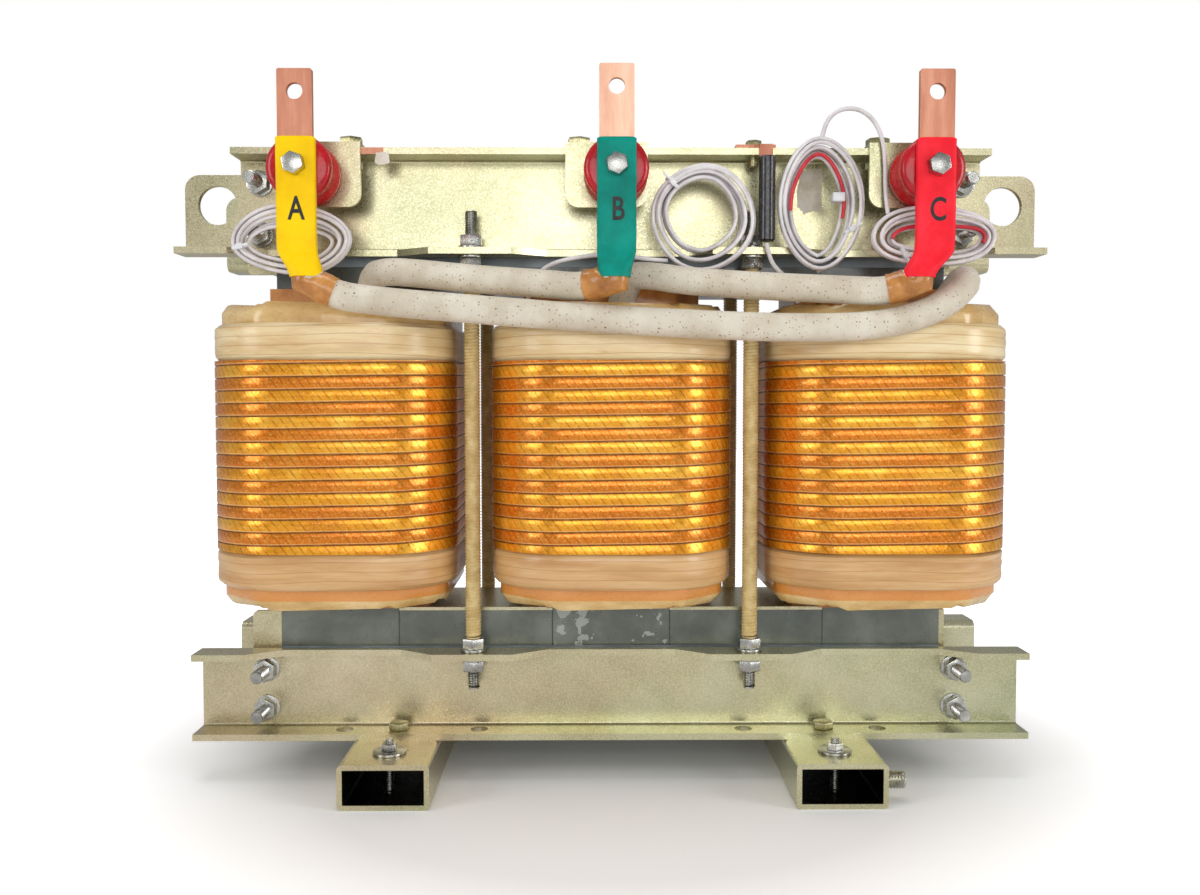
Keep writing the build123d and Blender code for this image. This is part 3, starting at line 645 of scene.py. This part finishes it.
def octagon_plan(half_width, half_depth, rounding=CORNER_ROUND, steps=5):
    """Closed plan of a winding as points: a cut-cornered block with its eight corners rounded."""
    near_x, near_y = half_width - CORNER_CUT, half_depth - CORNER_CUT
    corners = [Vector(corner) for corner in (
        (half_width, -near_y), (half_width, near_y), (near_x, half_depth), (-near_x, half_depth),
        (-half_width, near_y), (-half_width, -near_y), (-near_x, -half_depth), (near_x, -half_depth))]
    points = []
    for before, here, after in zip(corners[-1:] + corners, corners, corners[1:] + corners[:1]):
        start = here + (before - here).normalized() * rounding
        end = here + (after - here).normalized() * rounding
        for step in range(steps + 1):
            part = step / steps
            points.append(start.lerp(here, part).lerp(here.lerp(end, part), part))
    return points


def add_outer_winding(letter):
    """Outer winding of one phase: a strip wound turn over turn round a backing coloured dark brown as painted
    shade in the gaps between turns.
    """
    node = f"outer_winding_{letter}"
    centre = middle(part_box(node))
    half_width, half_depth = half_plan(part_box(node))
    plan = octagon_plan(half_width, half_depth)
    thickness, gap, crown = 1.6 * MM, 0.7 * MM, 0.7 * MM
    lower, upper, shoulder = gap / 2, TURN_PITCH - gap / 2, crown * 0.6
    outline = [(-thickness, lower), (-shoulder, lower), (0.0, lower + crown), (0.0, upper - crown),
               (-shoulder, upper), (-thickness, upper)]
    rows = []
    for lap in range(-1, TURN_COUNT + 1):
        for place, point in enumerate(plan):
            along = (plan[(place + 1) % len(plan)] - plan[place - 1]).normalized()
            outward = Vector((along.y, -along.x))
            turned = math.atan2(point.y, point.x) / (2 * math.pi)
            if turned < 0 and place > len(plan) / 2:
                turned += 1
            base = TURNS_LOW + (lap + turned) * TURN_PITCH
            rows.append([(*(point + outward * depth), base + rise) for depth, rise in outline])
    strip = bmesh.new()
    add_skin(strip, rows, closed=False, capped=False)
    for level, way in ((TURNS_LOW, -1), (TURNS_HIGH, 1)):
        bmesh.ops.bisect_plane(strip, geom=[*strip.verts, *strip.edges, *strip.faces], plane_co=(0, 0, level),
                               plane_no=(0, 0, way), clear_outer=True)
    bmesh.ops.transform(strip, matrix=Matrix.Translation((centre.x, centre.y, 0)), verts=strip.verts)
    add_piece(f"strip_turns_{letter}", strip, strip_finish(letter, centre.x), (node,), 50)
    inner_x, inner_y = 1 - thickness / half_width, 1 - thickness / half_depth
    # The backing behind the turns is coloured dark as painted shade in the gaps.
    backing = bmesh.new()
    add_skin(backing, [[(centre.x + point.x * inner_x, centre.y + point.y * inner_y, level) for point in plan]
                       for level in (TURNS_LOW, TURNS_HIGH)])
    add_piece(f"strip_backing_{letter}", backing, "gap_painted_shade", (), 40)


def add_collars(letter):
    """Taped collars above and below the turns, with soft corners and uneven layers."""
    node = f"end_collars_{letter}"
    random.seed(60 + ord(letter))
    layers, rim_inset, rim_share = 9, 2.8 * MM, 0.14
    shape = bmesh.new()
    for low, high in sorted(solid_boxes(node), key=lambda pair: pair[0].z):
        half_width, half_depth = half_plan((low, high))
        centre = middle((low, high))
        rows = []
        for layer in range(layers + 1):
            part = layer / layers
            soft = 1 - min(1.0, min(part, 1 - part) / rim_share)
            inset = rim_inset * soft ** 2 + random.uniform(0.1, 0.9) * MM
            level = low.z + (high.z - low.z) * part
            rows.append([(centre.x + point.x, centre.y + point.y, level)
                         for point in octagon_plan(half_width - inset, half_depth - inset)])
        add_skin(shape, rows)
    add_piece(f"tape_collars_{letter}", shape, "collar_tape", (node,), 40)


def add_inner_ends(letter):
    """Inner winding where it stands out above and below, with a wavy resin-fixed rim."""
    node = f"inner_winding_{letter}"
    low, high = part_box(node)
    centre = middle((low, high))
    half_width, half_depth = half_plan((low, high))
    bore_x, bore_y = (half + 0.2 * MM for half in half_plan(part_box(f"former_{letter}")))
    random.seed(80 + ord(letter))
    phase = random.uniform(0, 6)
    overlap = 2 * MM
    collar_low, collar_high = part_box(f"end_collars_{letter}")
    ends = ((low.z, collar_low.z + overlap, 1), (high.z, collar_high.z - overlap, -1))
    shape = bmesh.new()
    for rim_level, hidden_level, way in ends:
        rows = []
        for part in (0.0, 0.05, 0.35, 0.7, 1.0):
            inset = 4 * MM * (1 - min(1.0, part / 0.3)) + 0.2 * MM
            plan = octagon_plan(half_width - inset, half_depth - inset, CORNER_ROUND * 0.4)
            level = rim_level + (hidden_level - rim_level) * part
            row = []
            for place, point in enumerate(plan):
                wave = (1.6 * math.sin(place * 0.9 + phase) + 0.8 * math.sin(place * 2.3 + phase)) * MM
                lift = (2.4 * MM + wave) * way * (1 - part)
                row.append(Vector((centre.x + point.x, centre.y + point.y, level + lift)))
            rows.append(row)
        hole = []
        for point in rows[0]:
            away = point - centre
            share = min(bore_x / max(abs(away.x), 1e-6), bore_y / max(abs(away.y), 1e-6))
            hole.append(Vector((centre.x + away.x * share, centre.y + away.y * share, point.z)))
        wall = [Vector((point.x, point.y, hidden_level)) for point in hole]
        add_skin(shape, [wall, hole, *rows], capped=False)
    add_piece(f"inner_ends_{letter}", shape, "inner_wrap", (node,), 50)


# ------------------------------------------------------------- fixings
M12_RADIUS, M12_FLATS, M12_HEAD, M12_PITCH = 6 * MM, 19 * MM, 7.5 * MM, 1.75 * MM
M10_RADIUS, M10_HEAD = 5 * MM, 7 * MM
M8_RADIUS = 4 * MM


def thin_way(pair):
    """Direction along which a washer or a nut is thinnest."""
    size = pair[1] - pair[0]
    return (RIGHT, BACK, UP)[min(range(3), key=lambda axis: size[axis])]


def add_washers_and_nuts():
    """Flat washers and chamfered nuts in the places of the plain ones."""
    washers, nuts = bmesh.new(), bmesh.new()
    for pair in solid_boxes("flat_washers"):
        size, way = sorted(pair[1] - pair[0]), thin_way(pair)
        place = standing(middle(pair) - way * size[0] / 2, way)
        add_disc(washers, place, size[2] / 2, size[0], 0.4 * MM)
    random.seed(5)
    for pair in solid_boxes("hex_nuts"):
        size, way = sorted(pair[1] - pair[0]), thin_way(pair)
        place = standing(middle(pair) - way * size[0] / 2, way)
        add_hexagon(nuts, place, size[1], size[0], 1 * MM, random.uniform(-0.3, 0.3) * 0.2)
    add_piece("washers", washers, "zinc_fixing", ("flat_washers",))
    add_piece("nuts", nuts, "zinc_fixing", ("hex_nuts",))


def add_clamp_bolts():
    """Corner bolts: rear heads and the threaded shanks that stand out of the front nuts."""
    shape = bmesh.new()
    for low, high in solid_boxes("clamp_bolts"):
        seat = middle((low, high))
        seat.y = high.y - M12_HEAD
        add_hexagon(shape, standing(seat, BACK), M12_FLATS, M12_HEAD)
        add_thread(shape, standing(seat, FRONT), M12_RADIUS, seat.y - low.y, M12_PITCH, 0.9 * MM)
    add_piece("corner_bolts", shape, "zinc_fixing", ("clamp_bolts",))


def add_threaded_rods(name, node, finish, radius, pitch, depth, steps=12):
    """Every upright threaded rod of one CAD node, as thick as its box where no radius is given."""
    shape = bmesh.new()
    for low, high in solid_boxes(node):
        add_thread(shape, standing(base_of((low, high)), UP), radius or (high.x - low.x) / 2, high.z - low.z,
                   pitch, depth, steps)
    add_piece(name, shape, finish, (node,))


def add_rods():
    """Steel tie studs, their threaded glass-resin sleeves, the feet's studs and the earth stud."""
    add_threaded_rods("tie_rod_studs", "tie_studs", "zinc_fixing", M12_RADIUS, 2.2 * MM, 1 * MM)
    add_threaded_rods("tie_rod_sleeves", "tie_sleeves", "glass_rod", None, 3 * MM, 0.8 * MM, 16)
    add_threaded_rods("foot_studs", "anchor_studs", "zinc_fixing", M8_RADIUS, 1.6 * MM, 0.7 * MM)
    low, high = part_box("earth_stud")
    centre = middle((low, high))
    shape = bmesh.new()
    add_thread(shape, standing(Vector((low.x, centre.y, centre.z)), RIGHT), (high.z - low.z) / 2,
               high.x - low.x, 2.5 * MM, 1 * MM, 20)
    add_piece("earth_thread", shape, "zinc_fixing", ("earth_stud",))


def add_upright_bolt(shape, pair, flats, head, radius, overlap, turn=0.0):
    """Bolt with its head uppermost in a box, and its shank below where the box leaves room."""
    low, high = pair
    seat = base_of(pair)
    shank = high.z - low.z - head
    add_hexagon(shape, standing(seat + UP * shank, UP), flats, head, turn=turn)
    if shank > 0.1 * MM:
        add_disc(shape, standing(seat, UP), radius, shank + overlap)


def add_foot_bolts():
    """The four olive bolts that hold the clamps to the feet."""
    shape = bmesh.new()
    for low, high in solid_boxes("foot_bolts"):
        add_upright_bolt(shape, (low, high), high.y - low.y, M10_HEAD, M10_RADIUS, 1 * MM)
    add_piece("foot_bolt_heads", shape, "olive_fixing", ("foot_bolts",))


def add_terminal_fittings():
    """Washer, spring washer and bolt head on each bar, and the olive bracket bolts on the flange."""
    heads, bolts = bmesh.new(), bmesh.new()
    washer, spring, flats, bracket_head = 1.6 * MM, 1.8 * MM, 17 * MM, 6.5 * MM
    for pair in solid_boxes("terminal_bolts"):
        seat = middle(pair)
        seat.y = pair[1].y
        head = pair[1].y - pair[0].y - washer - spring
        add_disc(bolts, standing(seat, FRONT), 12 * MM, washer, 0.4 * MM)
        add_disc(bolts, standing(seat + FRONT * washer, FRONT), 9.2 * MM, spring, 0.3 * MM)
        add_hexagon(bolts, standing(seat + FRONT * (washer + spring), FRONT), flats, head, 1.1 * MM, 0.18)
    for low, high in solid_boxes("flange_bolts"):
        add_upright_bolt(heads, (low, high), high.y - low.y, bracket_head, 4.5 * MM, 0.0, 0.1)
    add_piece("terminal_bolt_heads", heads, "olive_fixing", ("flange_bolts",))
    add_piece("terminal_washers", bolts, "zinc_fixing", ("terminal_bolts",))


# ------------------------------------------------------------ terminals
SLEEVES = {"a": ("yellow_sleeve", 8 * MM), "b": ("green_sleeve", -2 * MM), "c": ("red_sleeve", -14 * MM)}


def add_insulators():
    """The three red drums behind the terminals, each with a waist and rounded rims, as one piece."""
    low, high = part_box("insulators")
    length = high.y - low.y
    outer, waist = 28.5 * MM, 24.0 * MM
    rim = [(outer - 6.0 * MM, 0.0), (outer - 2.2 * MM, 0.8 * MM), (outer - 0.4 * MM, 3.2 * MM),
           (outer, 7.0 * MM), (outer - 0.6 * MM, 9.5 * MM), (waist + 1.2 * MM, length / 2 - 5.0 * MM)]
    profile = [(0.0, 0.0), *rim, (waist, length / 2),
               *((radius, length - level) for radius, level in reversed(rim)), (0.0, length)]
    shape = bmesh.new()
    for letter in "abc":
        seat = Vector((middle(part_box(f"terminal_bar_{letter}")).x, high.y, (low.z + high.z) / 2))
        add_spun(shape, standing(seat, FRONT), profile)
    add_piece("drum_insulators", shape, "red_resin", ("insulators",), 60)


def superellipse(width, depth, power, steps=28):
    """Plan of a soft-cornered tube."""
    points = []
    for step in range(steps):
        angle = 2 * math.pi * step / steps
        x, y = math.cos(angle), math.sin(angle)
        points.append((math.copysign(abs(x) ** (2 / power), x) * width / 2,
                       math.copysign(abs(y) ** (2 / power), y) * depth / 2))
    return points


def add_phase_sleeve(letter):
    """Shrunk sleeve over one bar: flat above, drawn round at its foot, with shallow creases."""
    node = f"phase_sleeve_{letter}"
    low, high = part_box(node)
    centre = middle(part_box(f"terminal_bar_{letter}"))
    finish, lean = SLEEVES[letter]
    flat, round_end = (34.0 * MM, 9.0 * MM, 5.0), (28.5 * MM, 26.0 * MM, 2.2)
    neck, shoulder = low.z + 22 * MM, low.z + 26 * MM
    random.seed(ord(letter))
    levels = [high.z - 0.1 * MM, high.z - 1.2 * MM, *(high.z - (6.0 + 7.5 * step) * MM for step in range(12)),
              *(neck - 2.8 * MM * step for step in range(8))]
    levels = sorted({round(level, 5) for level in levels if level > low.z}, reverse=True) + [low.z]
    rows = []
    for place, level in enumerate(levels):
        part = min(1.0, max(0.0, (shoulder - level) / (shoulder - low.z)))
        soft = part * part * (3 - 2 * part)
        width, depth, power = (above + (below - above) * soft for above, below in zip(flat, round_end))
        shrink = 0.9 if place == 0 else 1.0
        crease = 1 + random.uniform(-0.012, 0.004) * (place > 1)
        rows.append([(centre.x + lean * soft + x, centre.y + y, level)
                     for x, y in superellipse(width * shrink * crease, depth * shrink, power)])
    shape = bmesh.new()
    add_skin(shape, rows)
    add_piece(f"shrunk_sleeve_{letter}", shape, finish, (node,), 55)


def add_letter(letter):
    """Phase letter standing a hair off the flat of its sleeve, below the bolt."""
    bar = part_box(f"terminal_bar_{letter}")
    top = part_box(f"phase_sleeve_{letter}")[1].z
    text = bpy.data.curves.new(f"letter_{letter}", "FONT")
    text.body = letter.upper()
    text.size = 28 * MM
    text.extrude = 0.1 * MM
    text.offset = 0.45 * MM
    text.resolution_u = 4
    text.align_x = "CENTER"
    text.align_y = "CENTER"
    mesh = mesh_from_curve(text)
    seat = Vector((middle(bar).x + 1 * MM, bar[0].y - 2.1 * MM, top - 62 * MM))
    mesh.transform(Matrix.Translation(seat) @ Matrix.Rotation(math.pi / 2, 4, "X") @
                   Matrix.Diagonal((0.74, 1, 1, 1)))
    add_piece(f"phase_letter_{letter}", mesh, "ink", (), 30)


# ---------------------------------------------------------------- cords
LEAD_THICKNESS, WIRE_RUN_THICKNESS, HANK_THICKNESS = 25 * MM, 4 * MM, 3.6 * MM
# routes in millimetres, from where each cord leaves its terminal, clip or clamp
LEADS = {
    "a": [(-263, -144.5, 460), (-246, -141, 446), (-204, -138, 440), (-118, -137.5, 433), (-26, -138, 426),
          (62, -137.5, 421), (154, -138, 417), (238, -137.5, 419), (288, -136, 436), (314, -122, 457),
          (318, -94, 467), (306, -73, 440)],
    "b": [(1, -144.5, 460), (-20, -134, 452), (-61, -122, 457), (-114, -114, 461), (-172, -110, 467),
          (-204, -102, 470), (-220, -86, 466), (-224, -72, 438)],
    "c": [(263, -144.5, 460), (246, -134, 449), (206, -129, 451), (139, -118, 455), (66, -113, 460),
          (34, -106, 466), (14, -90, 467), (8, -74, 438)],
}
WIRES = {
    "wire_loop": [(188, -99, 588), (191, -97, 604), (204, -95, 616), (221, -95, 617), (235, -97, 607),
                  (243, -100, 588), (245, -101, 564), (245, -101, 540), (247, -104, 521)],
    "wire_link": [(50, -99, 480), (30, -99, 481), (5, -100, 486), (-25, -99, 484), (-52, -97, 479),
                  (-70, -90, 468), (-78, -82, 444)],
    "wire_neutral": [(139, -99.5, 496), (142, -98, 480), (154, -92, 469), (166, -84, 462), (172, -78, 444)],
}


def start_curve(name, points, resolution, thickness=0.0, roundness=0):
    """A curve through a route, as a bare line or with a thickness, and its open spline."""
    curve = bpy.data.curves.new(name, "CURVE")
    curve.dimensions = "3D"
    curve.resolution_u = resolution
    curve.bevel_depth = thickness / 2
    curve.bevel_resolution = roundness
    spline = curve.splines.new("NURBS")
    spline.points.add(len(points) - 1)
    for point, place in zip(spline.points, points):
        point.co = (*place, 1)
    spline.order_u = 3
    spline.use_endpoint_u = True
    return curve, spline


def add_tape_joint(letter, points):
    """Brown tape wound over the place where a lead goes up into its sleeve."""
    curve, _ = start_curve("line", points, 12)
    mesh = mesh_from_curve(curve)
    line = [vertex.co.copy() for vertex in mesh.vertices]
    bpy.data.meshes.remove(mesh)
    start, away = line[0], (line[1] - line[0]).normalized()
    rings = [(start + UP * 6 * MM, -UP, 12.0 * MM, 10.8 * MM),
             (start + UP * 1 * MM, -UP, 13.0 * MM, 11.6 * MM),
             (start - UP * 3.5 * MM, (away - UP).normalized(), 13.8 * MM, 12.6 * MM)]
    first_ring, last_ring = 9 * MM, 28 * MM
    travelled = 0.0
    for here, ahead in zip(line, line[1:]):
        travelled += (ahead - here).length
        if first_ring < travelled <= last_ring:
            radius = (13.5 + 0.3 * math.sin(travelled * 1500 + ord(letter))) * MM
            rings.append((ahead, (ahead - here).normalized(), radius, radius))
    turns = [2 * math.pi * step / 24 for step in range(24)]
    rows = []
    for centre, along, wide, deep in rings:
        side = along.cross(FRONT).normalized()
        up = side.cross(along)
        rows.append([centre + side * wide * math.cos(turn) + up * deep * math.sin(turn) for turn in turns])
    shape = bmesh.new()
    add_skin(shape, rows)
    return add_piece(f"tape_joint_{letter}", shape, "brown_tape", (), 50)


def add_cord(name, node, points, thickness, finish, lay, with_pieces=()):
    """One cable or wire drawn as an open spline through its own route."""
    coiled = lay == "coiled"
    roundness = 4 if finish == "glass_braid" else 2
    curve, spline = start_curve(name, points, 3 if coiled else 8, thickness, roundness)
    curve.use_fill_caps = True
    curve.materials.append(FINISH[finish])
    piece = bpy.data.objects.new(name, curve)
    bpy.context.scene.collection.objects.link(piece)
    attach(piece, "root")
    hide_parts(node)


def in_metres(route):
    """A route given in millimetres, in metres."""
    return [tuple(value * MM for value in place) for place in route]


def add_cords():
    """Braided winding leads and loose signal wires."""
    for letter, route in LEADS.items():
        points = in_metres(route)
        add_cord(f"braided_lead_{letter}", f"lead_{letter}", points, LEAD_THICKNESS, "glass_braid",
                 "hanging", [add_tape_joint(letter, points)])
    for name, route in WIRES.items():
        add_cord(f"{name}_run", name, in_metres(route), WIRE_RUN_THICKNESS, "white_wire", "loose")


# ---------------------------------------------------------- wire hanks
# row and layer of each turn in a bundle, in the order in which the turns are laid
HANK_SLOTS = ((0, 0), (0, 1), (0, 2), (1, 2), (1, 1), (1, 0), (2, 0), (2, 1), (2, 2))
# each hank: the X and Z of its centre, its turns, how far round it fans out, and whether it has a red run
HANKS = {
    "a": (-0.287, 0.496, 7, 0.4, False),
    "b": (0.081, 0.520, 8, 2.6, False),
    "c": (0.186, 0.530, 7, 1.2, True),
    "d": (0.290, 0.500, 7, 5.4, True),
}
HANK_BOXES = {letter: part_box(f"wire_hank_{letter}") for letter in HANKS}
# each cable tie: its place, its turn in degrees and the length of its cut tail in millimetres
TIES = {
    "a": ((-0.331, -0.1038, 0.491), 75, 8),
    "b": ((0.054, -0.0983, 0.549), -45, 12),
    "c": ((0.215, -0.0983, 0.508), 60, 10),
    "d": ((0.262, -0.1038, 0.484), 155, 22),
}


def hank_place(letter, slot, angle):
    """Point of one turn of a hank: its row and layer, and how far it has fanned out at this angle."""
    low, high = HANK_BOXES[letter]
    centre_x, centre_z, _, fan, _ = HANKS[letter]
    row, layer = slot
    step, side_x, side_z = 4.5 * MM, 6.2 * MM, 5.2 * MM
    spread = 5.0 * MM * (1.45 + 0.45 * math.sin(angle + fan))
    inward = (row - 1) * spread
    wave = 1.6 * MM * math.sin(2 * angle + fan)
    x = ((high.x - low.x) / 2 - side_x - inward + wave) * math.cos(angle)
    z = ((high.z - low.z) / 2 - side_z - inward - wave) * math.sin(angle)
    return (centre_x + x, (low.y + high.y) / 2 + (1 - layer) * step, centre_z + z)


def add_tie(letter):
    """Cable tie round a hank: a thin square loop, its lock and its cut tail."""
    place, degrees, tail = TIES[letter]
    loop_half = Vector((1.6, 6.2, 7.5))
    lock_low, lock_high = Vector((-2.6, -8.5, -3.0)), Vector((2.6, -5.5, 3.0))
    tail_low, tail_high = Vector((-1.1, -7.8, 0.0)), Vector((1.1, -6.6, tail))
    shape = box_shape(-loop_half * MM, loop_half * MM, 0.8 * MM)
    join_part(shape, box_shape(lock_low * MM, lock_high * MM, 0.6 * MM))
    join_part(shape, box_shape(tail_low * MM, tail_high * MM, 0.3 * MM, 1))
    bmesh.ops.transform(shape, verts=shape.verts, matrix=Matrix.Translation(place) @
                        Matrix.Rotation(math.radians(degrees), 4, "Y"))
    return add_piece(f"tie_{letter}", shape, "tie_film")


def add_red_run(letter):
    """Short red wire laid in the next slot of a hank."""
    slot = HANK_SLOTS[HANKS[letter][2] + 1]
    points = [hank_place(letter, slot, math.pi * (-0.1 + 0.06 * step)) for step in range(20)]
    curve, _ = start_curve(f"wire_hank_{letter}_red", points, 3, HANK_THICKNESS, 2)
    return add_piece(f"wire_hank_{letter}_red_run", mesh_from_curve(curve), "red_wire", (), 60)


def add_hank(letter, with_pieces):
    """A hank of spare wire: one wire laid turn beside turn, in three layers, fanned out to one side."""
    turns, has_red = HANKS[letter][2], HANKS[letter][4]
    steps, first_angle = 14, -math.pi / 2
    points = []
    for count in range(steps * turns + 1):
        turn = min(count // steps, turns - 1)
        part = count / steps - turn
        slot = tuple(here + (there - here) * part
                     for here, there in zip(HANK_SLOTS[turn], HANK_SLOTS[turn + 1]))
        points.append(hank_place(letter, slot, first_angle + 2 * math.pi * count / steps))
    pieces = with_pieces + ([add_red_run(letter)] if has_red else [])
    add_cord(f"wire_hank_{letter}_turns", f"wire_hank_{letter}", points, HANK_THICKNESS, "white_wire",
             "coiled", pieces)


def add_hanks():
    """The four hanks of spare wire that hang over the upper clamp, with their ties and one plug."""
    plug = add_piece("wire_plug", box_shape(Vector((0.197, -0.1070, 0.532)), Vector((0.208, -0.0960, 0.540)),
                                            1 * MM), "tie_film")
    for letter in HANKS:
        add_hank(letter, [add_tie(letter)] + ([plug] if letter == "c" else []))


# -------------------------------------------------------- small trimming
def add_torn_slip(name, low_corner, high_corner, facing_y, seed):
    """Thin rest of a torn-off label with an uneven edge, on a plate that faces the front."""
    random.seed(seed)
    steps, squareness, thickness, sunk = 36, 0.35, 0.25 * MM, 0.2 * MM
    low, high = Vector(low_corner), Vector(high_corner)
    centre, half = (low + high) / 2, (high - low) / 2
    outline = []
    for step in range(steps):
        angle = 2 * math.pi * step / steps
        x = math.copysign(abs(math.cos(angle)) ** squareness, math.cos(angle)) * half.x
        z = math.copysign(abs(math.sin(angle)) ** squareness, math.sin(angle)) * half.y
        outline.append(centre + Vector((x, z)) * random.uniform(0.80, 1.0))
    faces = (facing_y - thickness, facing_y + sunk)
    shape = bmesh.new()
    add_skin(shape, [[(x, face, z) for x, z in outline] for face in faces])
    add_piece(name, shape, "label_rest", (), 30)


def add_trimmings():
    """Label rests on the upper clamp and a slip of copper foil by the first terminal."""
    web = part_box("core_leg_centre")[0].y - 7 * MM
    add_torn_slip("label_rest", (0.173, 0.527), (0.198, 0.572), web, 21)
    low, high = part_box("clamp_upper_front")
    edge, top = low.y, high.z
    foil_low = Vector((-0.231, edge - 0.6 * MM, top - 6.2 * MM))
    foil_high = Vector((-0.206, edge, top - 0.4 * MM))
    add_piece("foil_slip", box_shape(foil_low, foil_high), "copper")
    add_torn_slip("paper_slip", (-0.214, top - 16 * MM), (-0.200, top - 4 * MM), edge - 0.4 * MM, 9)


# ---------------------------------------------------------------- stage
# each light: its place, what it aims at, its width, height and power
LIGHTS = {
    "front softbox": ((0.12, -2.4, 0.80), (0.05, 0, 0.45), 1.9, 0.8, 15),
    "left bank": ((-1.9, -1.3, 0.9), (0, 0, 0.30), 0.8, 1.2, 12),
    "right bank": ((1.9, -1.0, 0.7), (0, 0, 0.30), 0.6, 1.1, 13),
    "top bank": ((-0.2, -0.2, 2.2), (0, 0, 0.3), 1.4, 0.9, 13),
}


def build_floor():
    """Plain pale floor that brightens to white away from the transformer, only as the camera sees it."""
    mesh = bpy.data.meshes.new("floor")
    shape = bmesh.new()
    bmesh.ops.create_grid(shape, x_segments=1, y_segments=1, size=6.0)
    shape.to_mesh(mesh)
    shape.free()
    floor = bpy.data.objects.new("floor", mesh)
    bpy.context.scene.collection.objects.link(floor)
    floor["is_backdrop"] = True
    material = bpy.data.materials.new("floor")
    material.use_nodes = True
    tree = material.node_tree
    shader = tree.nodes["Principled BSDF"]
    shader.inputs["Base Color"].default_value = (0.94, 0.94, 0.94, 1)
    shader.inputs["Roughness"].default_value = 0.9
    shader.inputs["Specular IOR Level"].default_value = 0.1
    shader.inputs["Emission Color"].default_value = WHITE
    length = add_node(tree, "ShaderNodeVectorMath", {0: object_place(tree)}, operation="LENGTH")
    away = ramp(tree, length.outputs["Value"], 0.30, 0.75)
    seen = add_node(tree, "ShaderNodeLightPath").outputs["Is Camera Ray"]
    feed(tree, shader.inputs["Emission Strength"], maths(tree, "MULTIPLY", away, seen))
    mesh.materials.append(material)


def build_world():
    """White surround that lights the object softly and looks pure white behind it."""
    world = bpy.data.worlds.new("studio")
    bpy.context.scene.world = world
    world.use_nodes = True
    tree = world.node_tree
    background = tree.nodes["Background"]
    background.inputs["Color"].default_value = WHITE
    seen = add_node(tree, "ShaderNodeLightPath").outputs["Is Camera Ray"]
    feed(tree, background.inputs["Strength"], ramp(tree, seen, 0.0, 1.0, 0.36, 1.0))


def place_lights():
    """Four soft banks of light round the transformer."""
    for name, (place, aim, width, height, watts) in LIGHTS.items():
        light = bpy.data.lights.new(name, "AREA")
        light.shape = "RECTANGLE"
        light.size = width
        light.size_y = height
        light.energy = watts
        lamp = bpy.data.objects.new(name, light)
        lamp.location = place
        lamp.rotation_euler = (Vector(aim) - Vector(place)).to_track_quat("-Z", "Y").to_euler()
        bpy.context.scene.collection.objects.link(lamp)


def build_stage():
    """Floor, surround and lights."""
    bpy.context.scene.view_settings.view_transform = "Standard"
    build_floor()
    build_world()
    place_lights()


def place_camera():
    """Camera standing square in front, at the height of the lower half of the coils."""
    data = bpy.data.cameras.new("camera")
    data.lens = 33.0
    data.sensor_width = 36.0
    camera = bpy.data.objects.new("camera", data)
    camera.location = (-0.020, -1.096, 0.359)
    tilt_down, turn = math.radians(2.73), math.radians(-0.52)
    camera.rotation_euler = (math.pi / 2 - tilt_down, 0, turn)
    bpy.context.scene.collection.objects.link(camera)
    bpy.context.scene.camera = camera


# ---------------------------------------------------------------- whole
SURFACES = {
    "core_varnish": ("core_leg_left", "core_leg_centre", "core_leg_right", "core_yoke_lower_left",
                     "core_yoke_lower_right", "core_yoke_upper_left", "core_yoke_upper_right"),
    "zinc_plate": ("clamp_lower_front", "clamp_lower_rear", "clamp_upper_front", "clamp_upper_rear",
                   "end_angle_left", "end_angle_right", "foot_left", "foot_right", "window_plates",
                   "terminal_brackets"),
    "press_sheet": ("clamp_insulation",),
    "amber_laminate": ("former_a", "former_b", "former_c", "coil_packers"),
    "inner_wrap": ("inner_winding_a", "inner_winding_b", "inner_winding_c"),
    "collar_tape": ("end_collars_a", "end_collars_b", "end_collars_c"),
    "copper": ("terminal_bar_a", "terminal_bar_c", "neutral_clip"),
    # Painted highlight: the middle bar gets the lighter copy of the copper.
    "copper_painted_lit": ("terminal_bar_b",),
    "black_sleeve": ("neutral_sleeve",),
}


def paint_frame():
    """Give the CAD nodes their finishes."""
    for finish, names in SURFACES.items():
        for name in names:
            mesh = NODES[name].data
            mesh.materials.clear()
            mesh.materials.append(FINISH[finish])


def build():
    """The whole transformer."""
    paint_frame()
    for letter in "abc":
        add_outer_winding(letter)
        add_collars(letter)
        add_inner_ends(letter)
        add_phase_sleeve(letter)
        add_letter(letter)
    add_washers_and_nuts()
    add_clamp_bolts()
    add_rods()
    add_foot_bolts()
    add_insulators()
    add_terminal_fittings()
    add_cords()
    add_hanks()
    add_trimmings()


def write_size():
    """Gather the CAD box and the visual model's box as lists of corners."""
    size = {"cad": cad_box, "visual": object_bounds()}
    size = {name: [list(corner) for corner in box] for name, box in size.items()}


build()
build_stage()
place_camera()
write_size()
